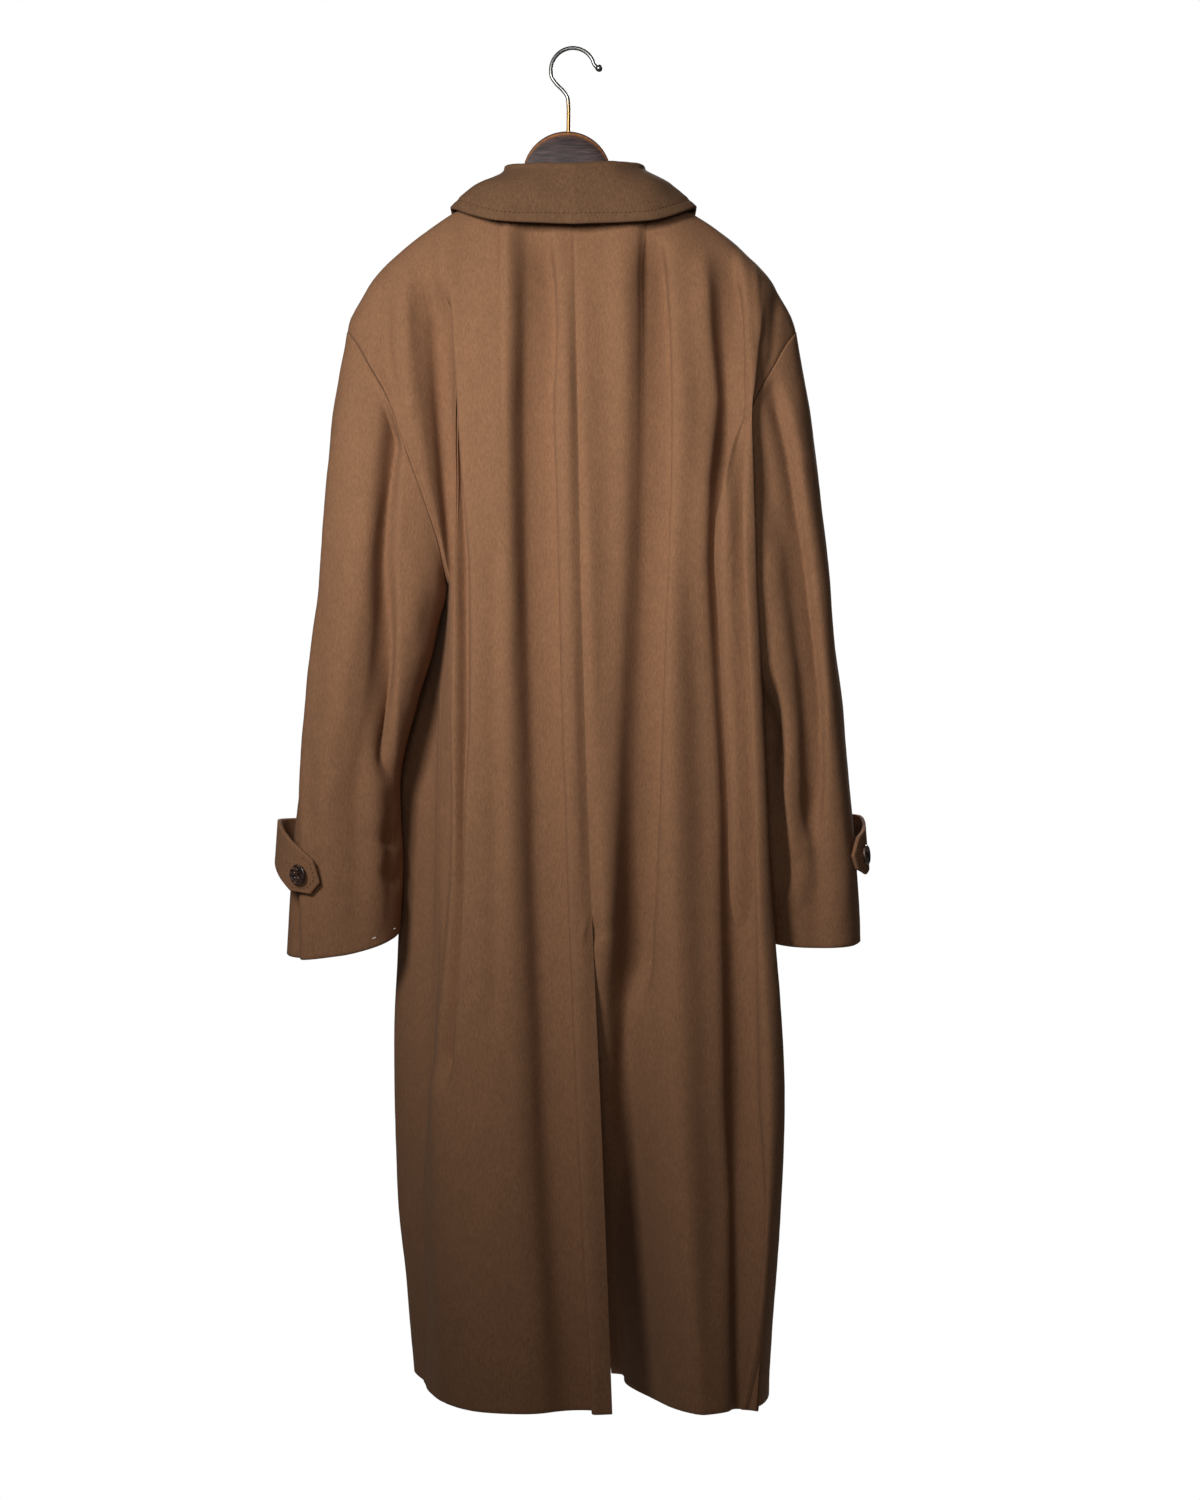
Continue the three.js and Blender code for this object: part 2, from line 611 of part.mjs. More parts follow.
// Plain sleeve section at a height: an oval through its four edges, with its folds on it
function sleeveSection(sleeve, folds) {
  const edge = curves(sleeve, 'z', ['outer', 'inner', 'back', 'front']);
  const lines = folds.map((row) => ({
    turn: curve(SLEEVE_LEVELS, row.turn),
    out: curve(SLEEVE_LEVELS, row.out),
    width: row.width,
  }));
  return (turn, z) => {
    const angle = 2 * Math.PI * turn;
    const power = 2 / SLEEVE_SQUARE;
    const cosine = Math.sign(Math.cos(angle)) * Math.abs(Math.cos(angle)) ** power;
    const sine = Math.sign(Math.sin(angle)) * Math.abs(Math.sin(angle)) ** power;
    const half = (edge.outer(z) - edge.inner(z)) / 2;
    const deep = (edge.back(z) - edge.front(z)) / 2;
    const way = vector(cosine * deep * sleeve.side, sine * Math.abs(half), 0).normalize();
    const rise = lines.reduce((sum, line) => {
      const gap = turn - line.turn(z);
      const apart = (gap - Math.round(gap)) / line.width;
      return sum + line.out(z) * Math.exp(-apart * apart);
    }, 0);
    const point = vector(edge.inner(z) + half * (1 + cosine), edge.front(z) + deep * (1 + sine), z);
    return point.addScaledVector(way, rise);
  };
}

// A sleeve's surface by turn and height: it starts on the armhole and settles into its own sections
function sleeveSurface(sleeve, folds) {
  const section = sleeveSection(sleeve, folds);
  return (turn, z) => {
    const start = armhole(sleeve.side, turn);
    const low = (1 - Math.cos(2 * Math.PI * turn)) / 2;
    const away = vector(lerp(TIP_OUT, 1, low) * sleeve.side, 0, -TIP_DOWN * (1 - low)).normalize();
    start.addScaledVector(away, SEAM + TIP_GAP + UNDERARM_GAP * low * low);
    const settled = smooth((start.z - z) / lerp(TIP_SETTLE, UNDERARM_SETTLE, low));
    const shift = start.clone().sub(section(turn, start.z));
    return section(turn, z).addScaledVector(shift, 1 - settled);
  };
}

function cuffZ(sleeve, turn) {
  const angle = 2 * Math.PI * turn;
  return sleeve.hem.middle + sleeve.hem.outer * Math.cos(angle) + sleeve.hem.back * Math.sin(angle);
}

// Normal of a sleeve's surface, from points close by
function sleeveNormal(sleeve, surface, turn, z) {
  const along = surface(turn + 0.01, z).sub(surface(turn - 0.01, z));
  const down = surface(turn, z - 4).sub(surface(turn, z + 4));
  return along.cross(down).multiplyScalar(-sleeve.side).normalize();
}

function sleeveMesh(name, sleeve, surface, bodyNormals) {
  const around = 2 * ARM_STEPS;
  const grid = [];
  for (let r = 0; r <= SLEEVE_ROWS; r += 1) {
    const row = [];
    for (let c = 0; c < around; c += 1) {
      const turn = c / around;
      const high = (1 + Math.cos(2 * Math.PI * turn)) / 2;
      const start = armhole(sleeve.side, turn).z - TIP_DIP * high;
      row.push(surface(turn, lerp(start, cuffZ(sleeve, turn), r / SLEEVE_ROWS)));
    }
    grid.push(sleeve.side > 0 ? row.reverse() : row);
  }
  const normals = gridNormals(grid, true);
  const first = sleeve.side > 0 ? [...bodyNormals].reverse() : bodyNormals;
  normals[0].forEach((normal, c) => {
    const low = (grid[0][c].z - TIP_Z) / (UNDERARM_Z - TIP_Z);
    const own = smooth((low - 1 + UNDERARM_BLEND) / UNDERARM_BLEND);
    const facing = smooth(normal.dot(first[c]) / FACING);
    normal.lerp(first[c], (1 - own) * facing).normalize();
  });
  return wallMesh(name, grid, normals, WALL, WOOL, true);
}

// Normals of the body round one armhole, in the sleeve's order of turns
function armholeNormals(backNormals, backColumn, frontNormals, frontColumn) {
  const normals = [];
  for (let k = 0; k <= ARM_STEPS; k += 1) {
    normals.push(backNormals[k].at(backColumn));
  }
  for (let k = ARM_STEPS - 1; k > 0; k -= 1) {
    normals.push(frontNormals[k].at(frontColumn));
  }
  return normals;
}

// The collar: a stand on the neckline, rolled over at the top, and the fall outside it
function collarMesh() {
  const stations = [0, 1, 2, 3, 4];
  const path = curves({ station: stations, ...COLLAR }, 'station', Object.keys(COLLAR));
  const at = (line, place) => {
    const side = place < 0 ? -RIGHT_SHARE : 1;
    const station = Math.abs(place);
    const across = side * path[`${line}X`](station);
    return vector(across, path[`${line}Y`](station), path[`${line}Z`](station));
  };
  const columns = [];
  for (let c = 0; c <= COLLAR_COLUMNS; c += 1) {
    const place = 4 * ((2 * c) / COLLAR_COLUMNS - 1);
    const station = Math.abs(place);
    const roll = at('roll', place);
    const edge = at('edge', place);
    const along = at('roll', Math.min(4, place + 0.1)).sub(at('roll', Math.max(-4, place - 0.1)));
    const out = vector(-along.y, along.x, 0).normalize();
    const neck = neckPoint(place < 0 ? -RIGHT_SHARE : 1, station);
    neck.addScaledVector(out, -COLLAR_INSET);
    neck.z += COLLAR_LIFT + COLLAR_FRONT_LIFT * smooth((station - 1.9) / 0.6);
    const centre = roll.clone().add(vector(0, 0, -ROLL_RADIUS));
    const column = [neck, neck.clone().lerp(centre.clone().addScaledVector(out, -ROLL_RADIUS), 0.5)];
    for (let k = 0; k <= 4; k += 1) {
      const angle = Math.PI * (1 - k / 4);
      const point = centre.clone().addScaledVector(out, ROLL_RADIUS * Math.cos(angle));
      column.push(point.add(vector(0, 0, ROLL_RADIUS * Math.sin(angle))));
    }
    const shoulder = column.at(-1);
    FALL_BULGE.share.forEach((part, k) => {
      column.push(shoulder.clone().lerp(edge, part).addScaledVector(out, FALL_BULGE.out[k]));
    });
    column.push(edge);
    columns.push(column);
  }
  const grid = columns[0].map((_, r) => columns.map((column) => column[r]));
  return wallMesh('collar', grid, gridNormals(grid, false), COLLAR_WALL, WOOL);
}

// The neckline at a collar station: 0 is the centre of the back, 2 the shoulder and 4 the front end
function neckPoint(side, station) {
  if (station <= 2) {
    const x = side * NECK_HALF * Math.sin((Math.PI / 4) * station);
    return topEdge(x, 1);
  }
  const x = side * lerp(NECK_HALF, 15, 1 - Math.cos((Math.PI / 4) * (station - 2)));
  return topEdge(x, -1);
}

// A tab: a strap from its root on the sleeve's front, standing off the outer edge, to a clipped end.
// It follows the sleeve's plain surface, not its folds.
function tabMesh(name, tab, sleeve, surface) {
  const path = curves({ knots: TAB_KNOTS, ...tab }, 'knots', ['turn', 'z', 'off']);
  const centre = (share) => {
    const place = [path.turn(share), path.z(share)];
    const normal = sleeveNormal(sleeve, surface, ...place);
    const point = surface(...place).addScaledVector(normal, path.off(share) + TAB_WALL);
    return { point, normal };
  };
  const grid = [];
  const normals = [];
  for (let w = 0; w <= 4; w += 1) {
    const row = [];
    const rowNormals = [];
    for (let k = 0; k <= TAB_STEPS; k += 1) {
      const share = k / TAB_STEPS;
      const { point, normal } = centre(share);
      const behind = centre(Math.max(0, share - 0.03)).point;
      const ahead = centre(Math.min(1, share + 0.03)).point.sub(behind);
      const across = ahead.cross(normal).normalize();
      const clipped = clamp((share - TAB_POINT_FROM) / (1 - TAB_POINT_FROM), 0, 1);
      const clip = lerp(1, TAB_POINT_WIDTH, clipped);
      const place = (2 * w) / 4 - 1;
      row.push(point.clone().addScaledVector(across, place * TAB_HALF * clip * sleeve.side));
      rowNormals.push(normal);
    }
    grid.push(sleeve.side > 0 ? row.reverse() : row);
    normals.push(sleeve.side > 0 ? rowNormals.reverse() : rowNormals);
  }
  const mesh = wallMesh(name, grid, normals, TAB_WALL, WOOL);
  return { mesh, seat: centre(TAB_BUTTON_AT) };
}

// A sew-through button on a short thread post, its back towards the cloth
function buttonMesh(name, radius, seat) {
  const profile = [new THREE.Vector2(0, 0), new THREE.Vector2(BUTTON_POST, 0)];
  profile.push(new THREE.Vector2(BUTTON_POST, BUTTON.high[0]));
  BUTTON.reach.forEach((reach, k) => {
    profile.push(new THREE.Vector2(radius * reach, BUTTON.high[k]));
  });
  const geometry = new THREE.LatheGeometry(profile, 14);
  geometry.deleteAttribute('normal');
  geometry.deleteAttribute('uv');
  const mesh = new THREE.Mesh(mergeVertices(geometry, 0.001), new THREE.MeshStandardMaterial(HORN));
  mesh.name = name;
  mesh.quaternion.setFromUnitVectors(vector(0, 1, 0), seat.normal);
  mesh.position.copy(seat.point).addScaledVector(seat.normal, SEAM + BUTTON_SEAT);
  return mesh;
}

// Height of the hanger's top edge: its arms follow the shoulders and its hump rises over the neck
function hangerTop(x) {
  const share = x < 0 ? RIGHT_SHARE : 1;
  const out = Math.abs(x) / share;
  const inner = shoulderZ(NECK_HALF) - HANGER_NECK_RISE * (NECK_HALF - out);
  const arm = (out > NECK_HALF ? shoulderZ(out) : inner) - hangerClearance(out);
  const away = x - HUMP_X;
  if (Math.abs(away) >= HUMP_RADIUS) {
    return arm;
  }
  return Math.max(arm, HUMP_TOP_Z - HUMP_RADIUS + Math.sqrt(HUMP_RADIUS ** 2 - away ** 2));
}

// Upright room for the cloth over the hanger, which grows as the shoulder gets steeper
function hangerClearance(out) {
  const slope = (shoulderZ(out - 2) - shoulderZ(out + 2)) / 4;
  const room = WALL + ARM_ROOM + ARM_END_ROOM * (out / HANGER_HALF) ** 2;
  return room * Math.sqrt(1 + slope * slope);
}

// Depth of the hanger's middle: under the shoulder seam, and a little further back in the neck
function hangerY(x) {
  return shoulderY(Math.abs(x)) + 1 + HUMP_BACK * (1 - smooth((Math.abs(x) - NECK_HALF) / 30));
}

// The hanger's wooden body: rounded sections from end to end
function hangerMesh() {
  const stations = 32;
  const around = 12;
  const points = [];
  for (let k = 0; k <= stations; k += 1) {
    const swing = Math.cos((Math.PI * k) / stations);
    const side = Math.sign(swing) * Math.abs(swing) ** 0.9;
    const x = HANGER_HALF * side * (side < 0 ? RIGHT_SHARE : 1);
    const share = Math.abs(side);
    const top = hangerTop(x);
    const bottom = lerp(HANGER_MIDDLE_LOW, HANGER_END_LOW, share ** 1.4);
    const past = Math.max(0, (share - HANGER_TAPER_FROM) / (1 - HANGER_TAPER_FROM));
    const end = Math.sqrt(Math.max(0, 1 - past ** 2));
    const thick = (HANGER_THICK / 2) * lerp(HANGER_END_THICK, 1, end);
    const high = ((top - bottom) / 2) * lerp(HANGER_END_HIGH, 1, end);
    for (let a = 0; a < around; a += 1) {
      const angle = (2 * Math.PI * a) / around;
      const y = hangerY(x) + thick * Math.cos(angle);
      points.push(vector(x, y, top - high + high * Math.sin(angle)));
    }
  }
  const triangles = [];
  for (let k = 0; k < stations; k += 1) {
    for (let a = 0; a < around; a += 1) {
      const b = (a + 1) % around;
      const here = k * around;
      const next = here + around;
      triangles.push([here + a, next + a, next + b], [here + a, next + b, here + b]);
    }
  }
  const last = stations * around;
  for (let a = 1; a < around - 1; a += 1) {
    triangles.push([0, a, a + 1], [last, last + a + 1, last + a]);
  }
  return meshFrom('hanger_body', points, triangles, WOOD);
}

// The hook: one wire in the upright plane, from its ball tip over the round top down into the wood
function hookMesh() {
  const around = 8;
  const centre = [HOOK_X, WIRE_RADIUS - HOOK_RADIUS];
  const path = [...HOOK_TIP];
  for (let k = 1; k <= 12; k += 1) {
    const angle = Math.PI * (1 - k / 12);
    path.push([centre[0] + HOOK_RADIUS * Math.cos(angle), centre[1] + HOOK_RADIUS * Math.sin(angle)]);
  }
  path.push(...HOOK_LOWER);
  const line = new THREE.CatmullRomCurve3(path.map(([x, z]) => vector(x, 0, z)), false, 'centripetal');
  const steps = 52;
  const points = [];
  for (let k = 0; k <= steps; k += 1) {
    const point = line.getPointAt(k / steps);
    const tangent = line.getTangentAt(k / steps);
    const side = vector(-tangent.z, 0, tangent.x);
    const far = (k / steps) * line.getLength();
    const ball = Math.sqrt(Math.max(0, BALL_RADIUS ** 2 - (far - BALL_RADIUS) ** 2));
    const radius = Math.max(ball, far < BALL_RADIUS ? 0.6 : WIRE_RADIUS);
    for (let a = 0; a < around; a += 1) {
      const angle = (2 * Math.PI * a) / around;
      const ring = point.clone().addScaledVector(side, radius * Math.cos(angle));
      points.push(ring.add(vector(0, radius * Math.sin(angle), 0)));
    }
  }
  const triangles = [];
  for (let k = 0; k < steps; k += 1) {
    for (let a = 0; a < around; a += 1) {
      const b = (a + 1) % around;
      const here = k * around;
      const next = here + around;
      triangles.push([here + a, next + b, here + b], [here + a, next + a, next + b]);
    }
  }
  const last = steps * around;
  for (let a = 1; a < around - 1; a += 1) {
    triangles.push([0, a, a + 1], [last, last + a + 1, last + a]);
  }
  return meshFrom('hanger_hook', points, triangles, STEEL);
}

const coat = new THREE.Group();
const { grids, normals } = bodyPanels();
Object.keys(grids).forEach((name) => {
  coat.add(wallMesh(name, grids[name], normals[name], WALL, WOOL));
});

const sleeves = [
  {
    hand: 'left',
    sleeve: LEFT_SLEEVE,
    folds: LEFT_SLEEVE_FOLDS,
    tab: LEFT_TAB,
    edge: armholeNormals(normals.back_left, -1, normals.front_left, 0),
  },
  {
    hand: 'right',
    sleeve: RIGHT_SLEEVE,
    folds: RIGHT_SLEEVE_FOLDS,
    tab: RIGHT_TAB,
    edge: armholeNormals(normals.back_right, 0, normals.front_right, -1),
  },
];
sleeves.forEach(({ hand, sleeve, folds, tab, edge }) => {
  const surface = sleeveSurface(sleeve, folds);
  coat.add(sleeveMesh(`sleeve_${hand}`, sleeve, surface, edge));
  const strap = tabMesh(`sleeve_tab_${hand}`, tab, sleeve, sleeveSurface(sleeve, []));
  coat.add(strap.mesh);
  coat.add(buttonMesh(`cuff_button_${hand}`, CUFF_BUTTON, strap.seat));
  const { turn, z, off } = tab.spare;
  const normal = sleeveNormal(sleeve, surface, turn, z);
  const seat = { point: surface(turn, z).addScaledVector(normal, off), normal };
  coat.add(buttonMesh(`cuff_spare_button_${hand}`, CUFF_BUTTON, seat));
});

coat.add(collarMesh());
const frontCentre = foldLine(LEFT_FRONT_FOLDS.centre, -1);
FRONT_BUTTON_AT.forEach((share, k) => {
  const down = frontCentre(share + 0.01).sub(frontCentre(share - 0.01));
  const seat = { point: frontCentre(share), normal: vector(0, down.z, -down.y).normalize() };
  coat.add(buttonMesh(`front_button_${k + 1}`, FRONT_BUTTON, seat));
});
coat.add(hangerMesh());
coat.add(hookMesh());

export default coat;
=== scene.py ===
# Looks of a brown wool overcoat that hangs on a wooden hanger, seen from behind.
# Lengths are in millimetres until a mesh is made.
# +Z is up, the coat's back faces +Y and the wearer's left is +X.
import math

import bpy
import numpy as np
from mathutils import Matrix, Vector, noise


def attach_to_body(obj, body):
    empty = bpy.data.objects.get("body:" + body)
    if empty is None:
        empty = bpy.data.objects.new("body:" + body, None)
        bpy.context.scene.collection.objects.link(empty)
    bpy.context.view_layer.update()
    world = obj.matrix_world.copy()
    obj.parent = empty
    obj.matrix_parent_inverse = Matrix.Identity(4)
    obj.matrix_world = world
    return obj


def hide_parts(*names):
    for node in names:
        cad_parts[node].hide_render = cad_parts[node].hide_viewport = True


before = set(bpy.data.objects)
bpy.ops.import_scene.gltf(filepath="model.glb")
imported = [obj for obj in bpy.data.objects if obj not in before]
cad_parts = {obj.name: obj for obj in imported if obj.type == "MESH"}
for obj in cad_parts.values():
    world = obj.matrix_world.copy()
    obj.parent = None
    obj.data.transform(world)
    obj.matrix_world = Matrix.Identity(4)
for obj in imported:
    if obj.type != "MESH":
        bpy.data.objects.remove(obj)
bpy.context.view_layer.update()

MM = 0.001

# Cloth
WALL = 2.5
COLLAR_WALL = 3
TAB_WALL = 3.5
SEAM = 0.36
SEAM_TUCK = 0.6
OVERLAP_DROP = 4.6

# Neck, shoulders and armholes
NECK_HALF = 72
NECK_POINT_Z = -138
NECK_BACK_DROP = 17
NECK_FRONT_DROP = 67
NECK_BACK_DEPTH = 28
NECK_FRONT_DEPTH = 28
NECK_SEAM_Y = -5
NECK_SQUARE = 2.5
TIP_HALF = 229
TIP_Y = -14
TIP_Z = -280
UNDERARM_Y = -7
UNDERARM_Z = -535
ARMHOLE_DEPTH = 46
ARMHOLE_SCOOP = 6
RIGHT_SHARE = 0.97
SHOULDER_ROUND = 58

# Hem and vent
HEM_BACK_Z = -1338
HEM_FRONT_Z = -1330
HEM_SIDE_Z = -1334
VENT_TOP = 0.567
VENT_FROM = 0.547
VENT_SLID = 0.59
LAP_WIDTH = 22
LAP_DEEP = 180
LAP_CURVE = 1.7
LAP_NARROWS = 0.2

# Grids: rows down the armhole and below it, columns between two fold lines, and extra ones at a seam
ARM_SHARE = 0.2413
ARM_ROWS = 80
ARM_CROWDING = 0.75
LOWER_ROWS = 208
COLUMNS_PER_FOLD = 12
SEAM_COLUMNS = [0.02, 0.045]
TOP_FADE = 10
SLEEVE_ROWS = 170
SLEEVE_AROUND = 132
COLLAR_COLUMNS = 240
COLLAR_ROWS_PER_POINT = 10

# Sleeve heads
TIP_GAP = -0.36
UNDERARM_GAP = 0.4
TIP_OUT = 0.45
TIP_DOWN = 0.89
TIP_DIP = 0.4
TIP_SETTLE = 230
UNDERARM_SETTLE = 46

# Collar
ROLL_RADIUS = 6.5
COLLAR_INSET = 2.2
COLLAR_LIFT = 2.3
COLLAR_FRONT_LIFT = 3.5
FALL_BULGE = {"share": [0.35, 0.7], "out": [2.5, 1.5]}
SIDE_SWELL = 2
SIDE_SWELL_AT = 1.7
SIDE_SWELL_WIDTH = 0.6

# Buttons
FRONT_BUTTON = 12.5
CUFF_BUTTON = 10
FRONT_BUTTON_AT = [0.06, 0.164, 0.28, 0.431]
BUTTON_LIFT = 0.56
SPARE_BUTTON_GAP = 0.9

# Hanger and hook
HANGER_HALF = 190
HANGER_THICK = 12
HANGER_MIDDLE_LOW = -172
HANGER_END_LOW = -238
HANGER_NECK_RISE = 0.1
HANGER_TAPER_FROM = 0.94
HANGER_END_THICK = 0.35
HANGER_END_HIGH = 0.5
ARM_ROOM = 1.6
ARM_END_ROOM = 2.6
HUMP_BACK = 1.5
HUMP_X = 8
HUMP_RADIUS = 44.5
HUMP_TOP_Z = -81
WIRE_RADIUS = 2
BALL_RADIUS = 3.6
HOOK_X = 2
HOOK_RADIUS = 22
SHANK_X = 6.5

# Shoulder seam: how far out, and its height
SHOULDER = {
    "out": [72, 100, 134, 162, 186, 203, 215, 224, 229],
    "z": [-138, -152, -171, -190, -211, -230, -250, -266, -280],
}

# Armhole edge: height, and how far out
ARMHOLE = {
    "z": [-280, -296, -315, -350, -400, -450, -500, -535],
    "out": [229, 217, 206, 186, 168, 150, 134, 128],
}

# Body sections: height, left and right reach, back and front depth
BODY = {
    "z": [-150, -280, -400, -550, -700, -850, -1000, -1200, -1338],
    "left": [200, 232, 205, 150, 160, 168, 180, 175, 160],
    "right": [-195, -224, -205, -195, -195, -202, -208, -203, -193],
    "back": [20, 36, 46, 56, 65, 75, 86, 100, 110],
    "front": [-14, -44, -56, -68, -80, -90, -100, -112, -120],
}
BODY_SIDE_Y = -5
BODY_SQUARE = 3.2

# Side seams: height, place across and depth
LEFT_SEAM = {
    "z": [-535, -580, -640, -700, -800, -900, -1000, -1150, -1250, -1334],
    "x": [128, 129, 134, 136, 137, 138, 141, 153, 156, 153],
    "y": [-7, -9, -8, -5, 3, 11, 19, 12, 0, -18],
}
RIGHT_SEAM = {
    "z": [-535, -600, -700, -850, -1000, -1200, -1334],
    "x": [-124.2, -136, -147, -160, -178, -185, -185],
    "y": [-7, -8, -5, -5, -10, -15, -25],
}

# Fold lines, given at these shares of the way from the top edge to the hem.
# x is the place across, and either out is the rise over the body section or y is the depth itself.
LEVELS = [0, 0.128, 0.262, 0.497, 0.732, 1]
LEFT_BACK_FOLDS = {
    "seam": {"x": [2, -3, -7, -15, -26, -37], "out": [2, 6, 7, 7, 8, 6]},
    "ridgeB": {"x": [16, 11, 9, 6, -4, -18], "out": [3, 9, 10, 10, 11, 9]},
    "valley1": {"x": [45, 48, 44, 37, 27, 8], "out": [1, -9, -11, -11, -12, -7]},
    "ridgeA2": {"x": [72, 71, 67, 64, 61, 50], "out": [2, 6, 8, 9, 9, 6]},
    "ridgeA1": {"x": [106, 110, 104, 98, 99, 92], "out": [3, 9, 12, 13, 11, 4]},
    "edgeA": {"x": [132, 128, 122, 125, 137, 125], "y": [30, 44, 53, 66, 68, 72]},
    "valley0": {"x": [150, 132, 121, 128, 143, 144], "y": [24, 20, 20, 24, 44, 24]},
}
RIGHT_RIM_FOLDS = {
    "rimD": {"x": [-190, -175, -181, -190, -206, -188], "y": [24, 48, 56, 64, 67, 58]},
    "crestD": {"x": [-172, -163, -168, -177, -191, -171], "y": [28, 49, 65, 75, 92, 108]},
}
RIGHT_BACK_FOLDS = {
    "ridgeC": {"x": [-98, -105, -95, -97, -104, -122], "out": [3, 9, 10, 10, 11, 17]},
    "valley2": {"x": [-70, -68, -65, -57, -49, -54], "out": [0, -9, -12, -15, -42, -118]},
}
LEFT_FRONT_FOLDS = {
    "side": {"x": [150, 116, 104, 132, 140, 125], "out": [2, 3, 5, 7, 6, 4]},
    "valley": {"x": [132, 92, 84, 98, 100, 92], "out": [1, -5, -7, -8, -9, -8]},
    "ridge": {"x": [106, 62, 60, 62, 60, 58], "out": [3, 6, 7, 8, 9, 8]},
    "flat": {"x": [72, 34, 34, 34, 32, 30], "out": [1, 0, 0, 0, 0, 0]},
    "centre": {"x": [20, 0, 0, 0, 0, 0], "out": [0, 0, 0, 0, 0, 0]},
    "edge": {"x": [-14, -14, -14, -14, -14, -14], "out": [0, 0, 0, 0, 0, 0]},
}
RIGHT_FRONT_FOLDS = {
    "edge": {"x": [14, 14, 14, 14, 14, 14], "out": [0, 0, 0, 0, 0, 0], "drop": OVERLAP_DROP},
    "under": {"x": [-15, -15, -15, -15, -15, -15], "out": [0, 0, 0, 0, 0, 0], "drop": OVERLAP_DROP},
    "flat": {"x": [-70, -40, -38, -36, -34, -32], "out": [1, 1, -2, -3, -3, -2]},
    "ridge": {"x": [-98, -64, -66, -70, -66, -62], "out": [3, 7, 7, 8, 8, 7]},
    "valley": {"x": [-142, -92, -92, -104, -104, -98], "out": [1, -4, -7, -8, -8, -7]},
    "side": {"x": [-172, -118, -112, -136, -150, -140], "out": [2, 3, 5, 7, 7, 5]},
}

# The left shoulder blade, the right tuck and the valley behind it: height, place across and depth
LEFT_BLADE = {
    "z": [-200, -300, -370, -430, -476, -510, -527, -540, -640, -800, -1000, -1100, -1338],
    "x": [174, 163, 152, 144, 134, 128.5, 126, 125, 127, 132, 141.5, 147, 149],
    "y": [24, 31, 35, 33, 28, 22, 17, 12, 8, 14, 31, 31, 3],
}
RIGHT_TUCK = {
    "z": [-245, -300, -352, -398, -430, -463, -500, -526, -560, -600, -640, -800, -1000, -1150, -1338],
    "x": [-208, -186, -178, -168, -162, -155, -143, -135, -135, -144, -150, -158, -186, -192, -192],
    "y": [20, 30, 35, 40, 41, 40.5, 37, 32, 27, 28, 29, 33, 36, 25, 10],
}
RIGHT_VALLEY = {
    "z": [-190, -300, -356, -398, -430, -476, -535, -600, -800, -1000, -1100, -1338],
    "x": [-142, -146, -149, -147, -143, -140, -140, -142, -152, -156, -155, -156],
    "y": [21, 28, 30, 32, 38, 46, 46, 44, 50, 64, 71, 93],
}

# Where the fronts turn round the sides: height, place across and depth
LEFT_HIP = {
    "z": [-200, -300, -405, -500, -560, -600, -650, -700, -740, -800, -880, -1000, -1150, -1240, -1330],
    "x": [174, 164, 134, 127, 139, 147, 162, 175, 181, 178, 179, 184, 180, 171, 163],
    "y": [-28, -40, -55, -61, -69, -70, -67, -64, -64, -62, -60, -50, -50, -52, -55],
}
RIGHT_HIP = {
    "z": [-220, -300, -405, -500, -560, -600, -700, -800, -900, -1000, -1150, -1240, -1330],
    "x": [-190, -163, -130, -119, -124, -134, -152, -160, -172, -188, -196, -195, -190],
    "y": [-28, -40, -55, -55, -52, -50, -46, -45, -48, -52, -58, -62, -66],
}

# Sleeve sections: height, outer and inner edge, back and front depth
LEFT_SLEEVE = {
    "side": 1,
    "z": [-280, -380, -535, -600, -650, -740, -820, -909],
    "outer": [229, 246, 257, 264, 270, 279, 285, 289],
    "inner": [140, 133, 134, 142, 156, 176, 173, 178],
    "back": [18, 42, 50, 50, 49, 45, 42, 36],
    "front": [-44, -60, -74, -78, -80, -82, -83, -82],
    "hem": {"middle": -893, "outer": -10, "back": -10},
}
RIGHT_SLEEVE = {
    "side": -1,
    "z": [-280, -380, -535, -600, -650, -740, -820, -909],
    "outer": [-222, -238, -256, -262, -268, -276, -283, -288],
    "inner": [-136, -128, -130, -143, -154, -165, -176, -192],
    "back": [18, 40, 43, 43, 42, 42, 41, 36],
    "front": [-44, -60, -72, -76, -78, -81, -83, -82],
    "hem": {"middle": -889, "outer": -1, "back": -6},
}
SLEEVE_SQUARE = 2.3

# Sleeve folds at these heights: turn is the share of the way round from the outer edge by the back
SLEEVE_LEVELS = [-350, -560, -680, -800, -905]
LEFT_SLEEVE_FOLDS = [
    {"turn": [0.27, 0.28, 0.285, 0.29, 0.29], "width": 0.05, "out": [-3, -8, -9, -8, -3]},
    {"turn": [0.2, 0.2, 0.2, 0.21, 0.23], "width": 0.05, "out": [1, 3, 3, 2, 1]},
    {"turn": [0.06, 0.06, 0.08, 0.13, 0.16], "width": 0.03, "out": [0, 3, 4, 5, 5]},
    {"turn": [0.01, 0.01, 0.02, 0.07, 0.1], "width": 0.035, "out": [0, -5, -7, -9, -10]},
    {"turn": [0.4, 0.4, 0.4, 0.42, 0.4], "width": 0.05, "out": [0, 0, 3, -7, 0]},
]
RIGHT_SLEEVE_FOLDS = [
    {"turn": [0.19, 0.195, 0.205, 0.215, 0.25], "width": 0.04, "out": [-5, -10, -11, -10, -3]},
    {"turn": [0.26, 0.27, 0.28, 0.29, 0.3], "width": 0.04, "out": [1, 3, 4, 2, 1]},
    {"turn": [0.11, 0.11, 0.12, 0.13, 0.14], "width": 0.05, "out": [1, 2, 3, 3, 1]},
    {"turn": [0.37, 0.37, 0.37, 0.36, 0.36], "width": 0.06, "out": [0, -4, -16, -7, 0]},
]

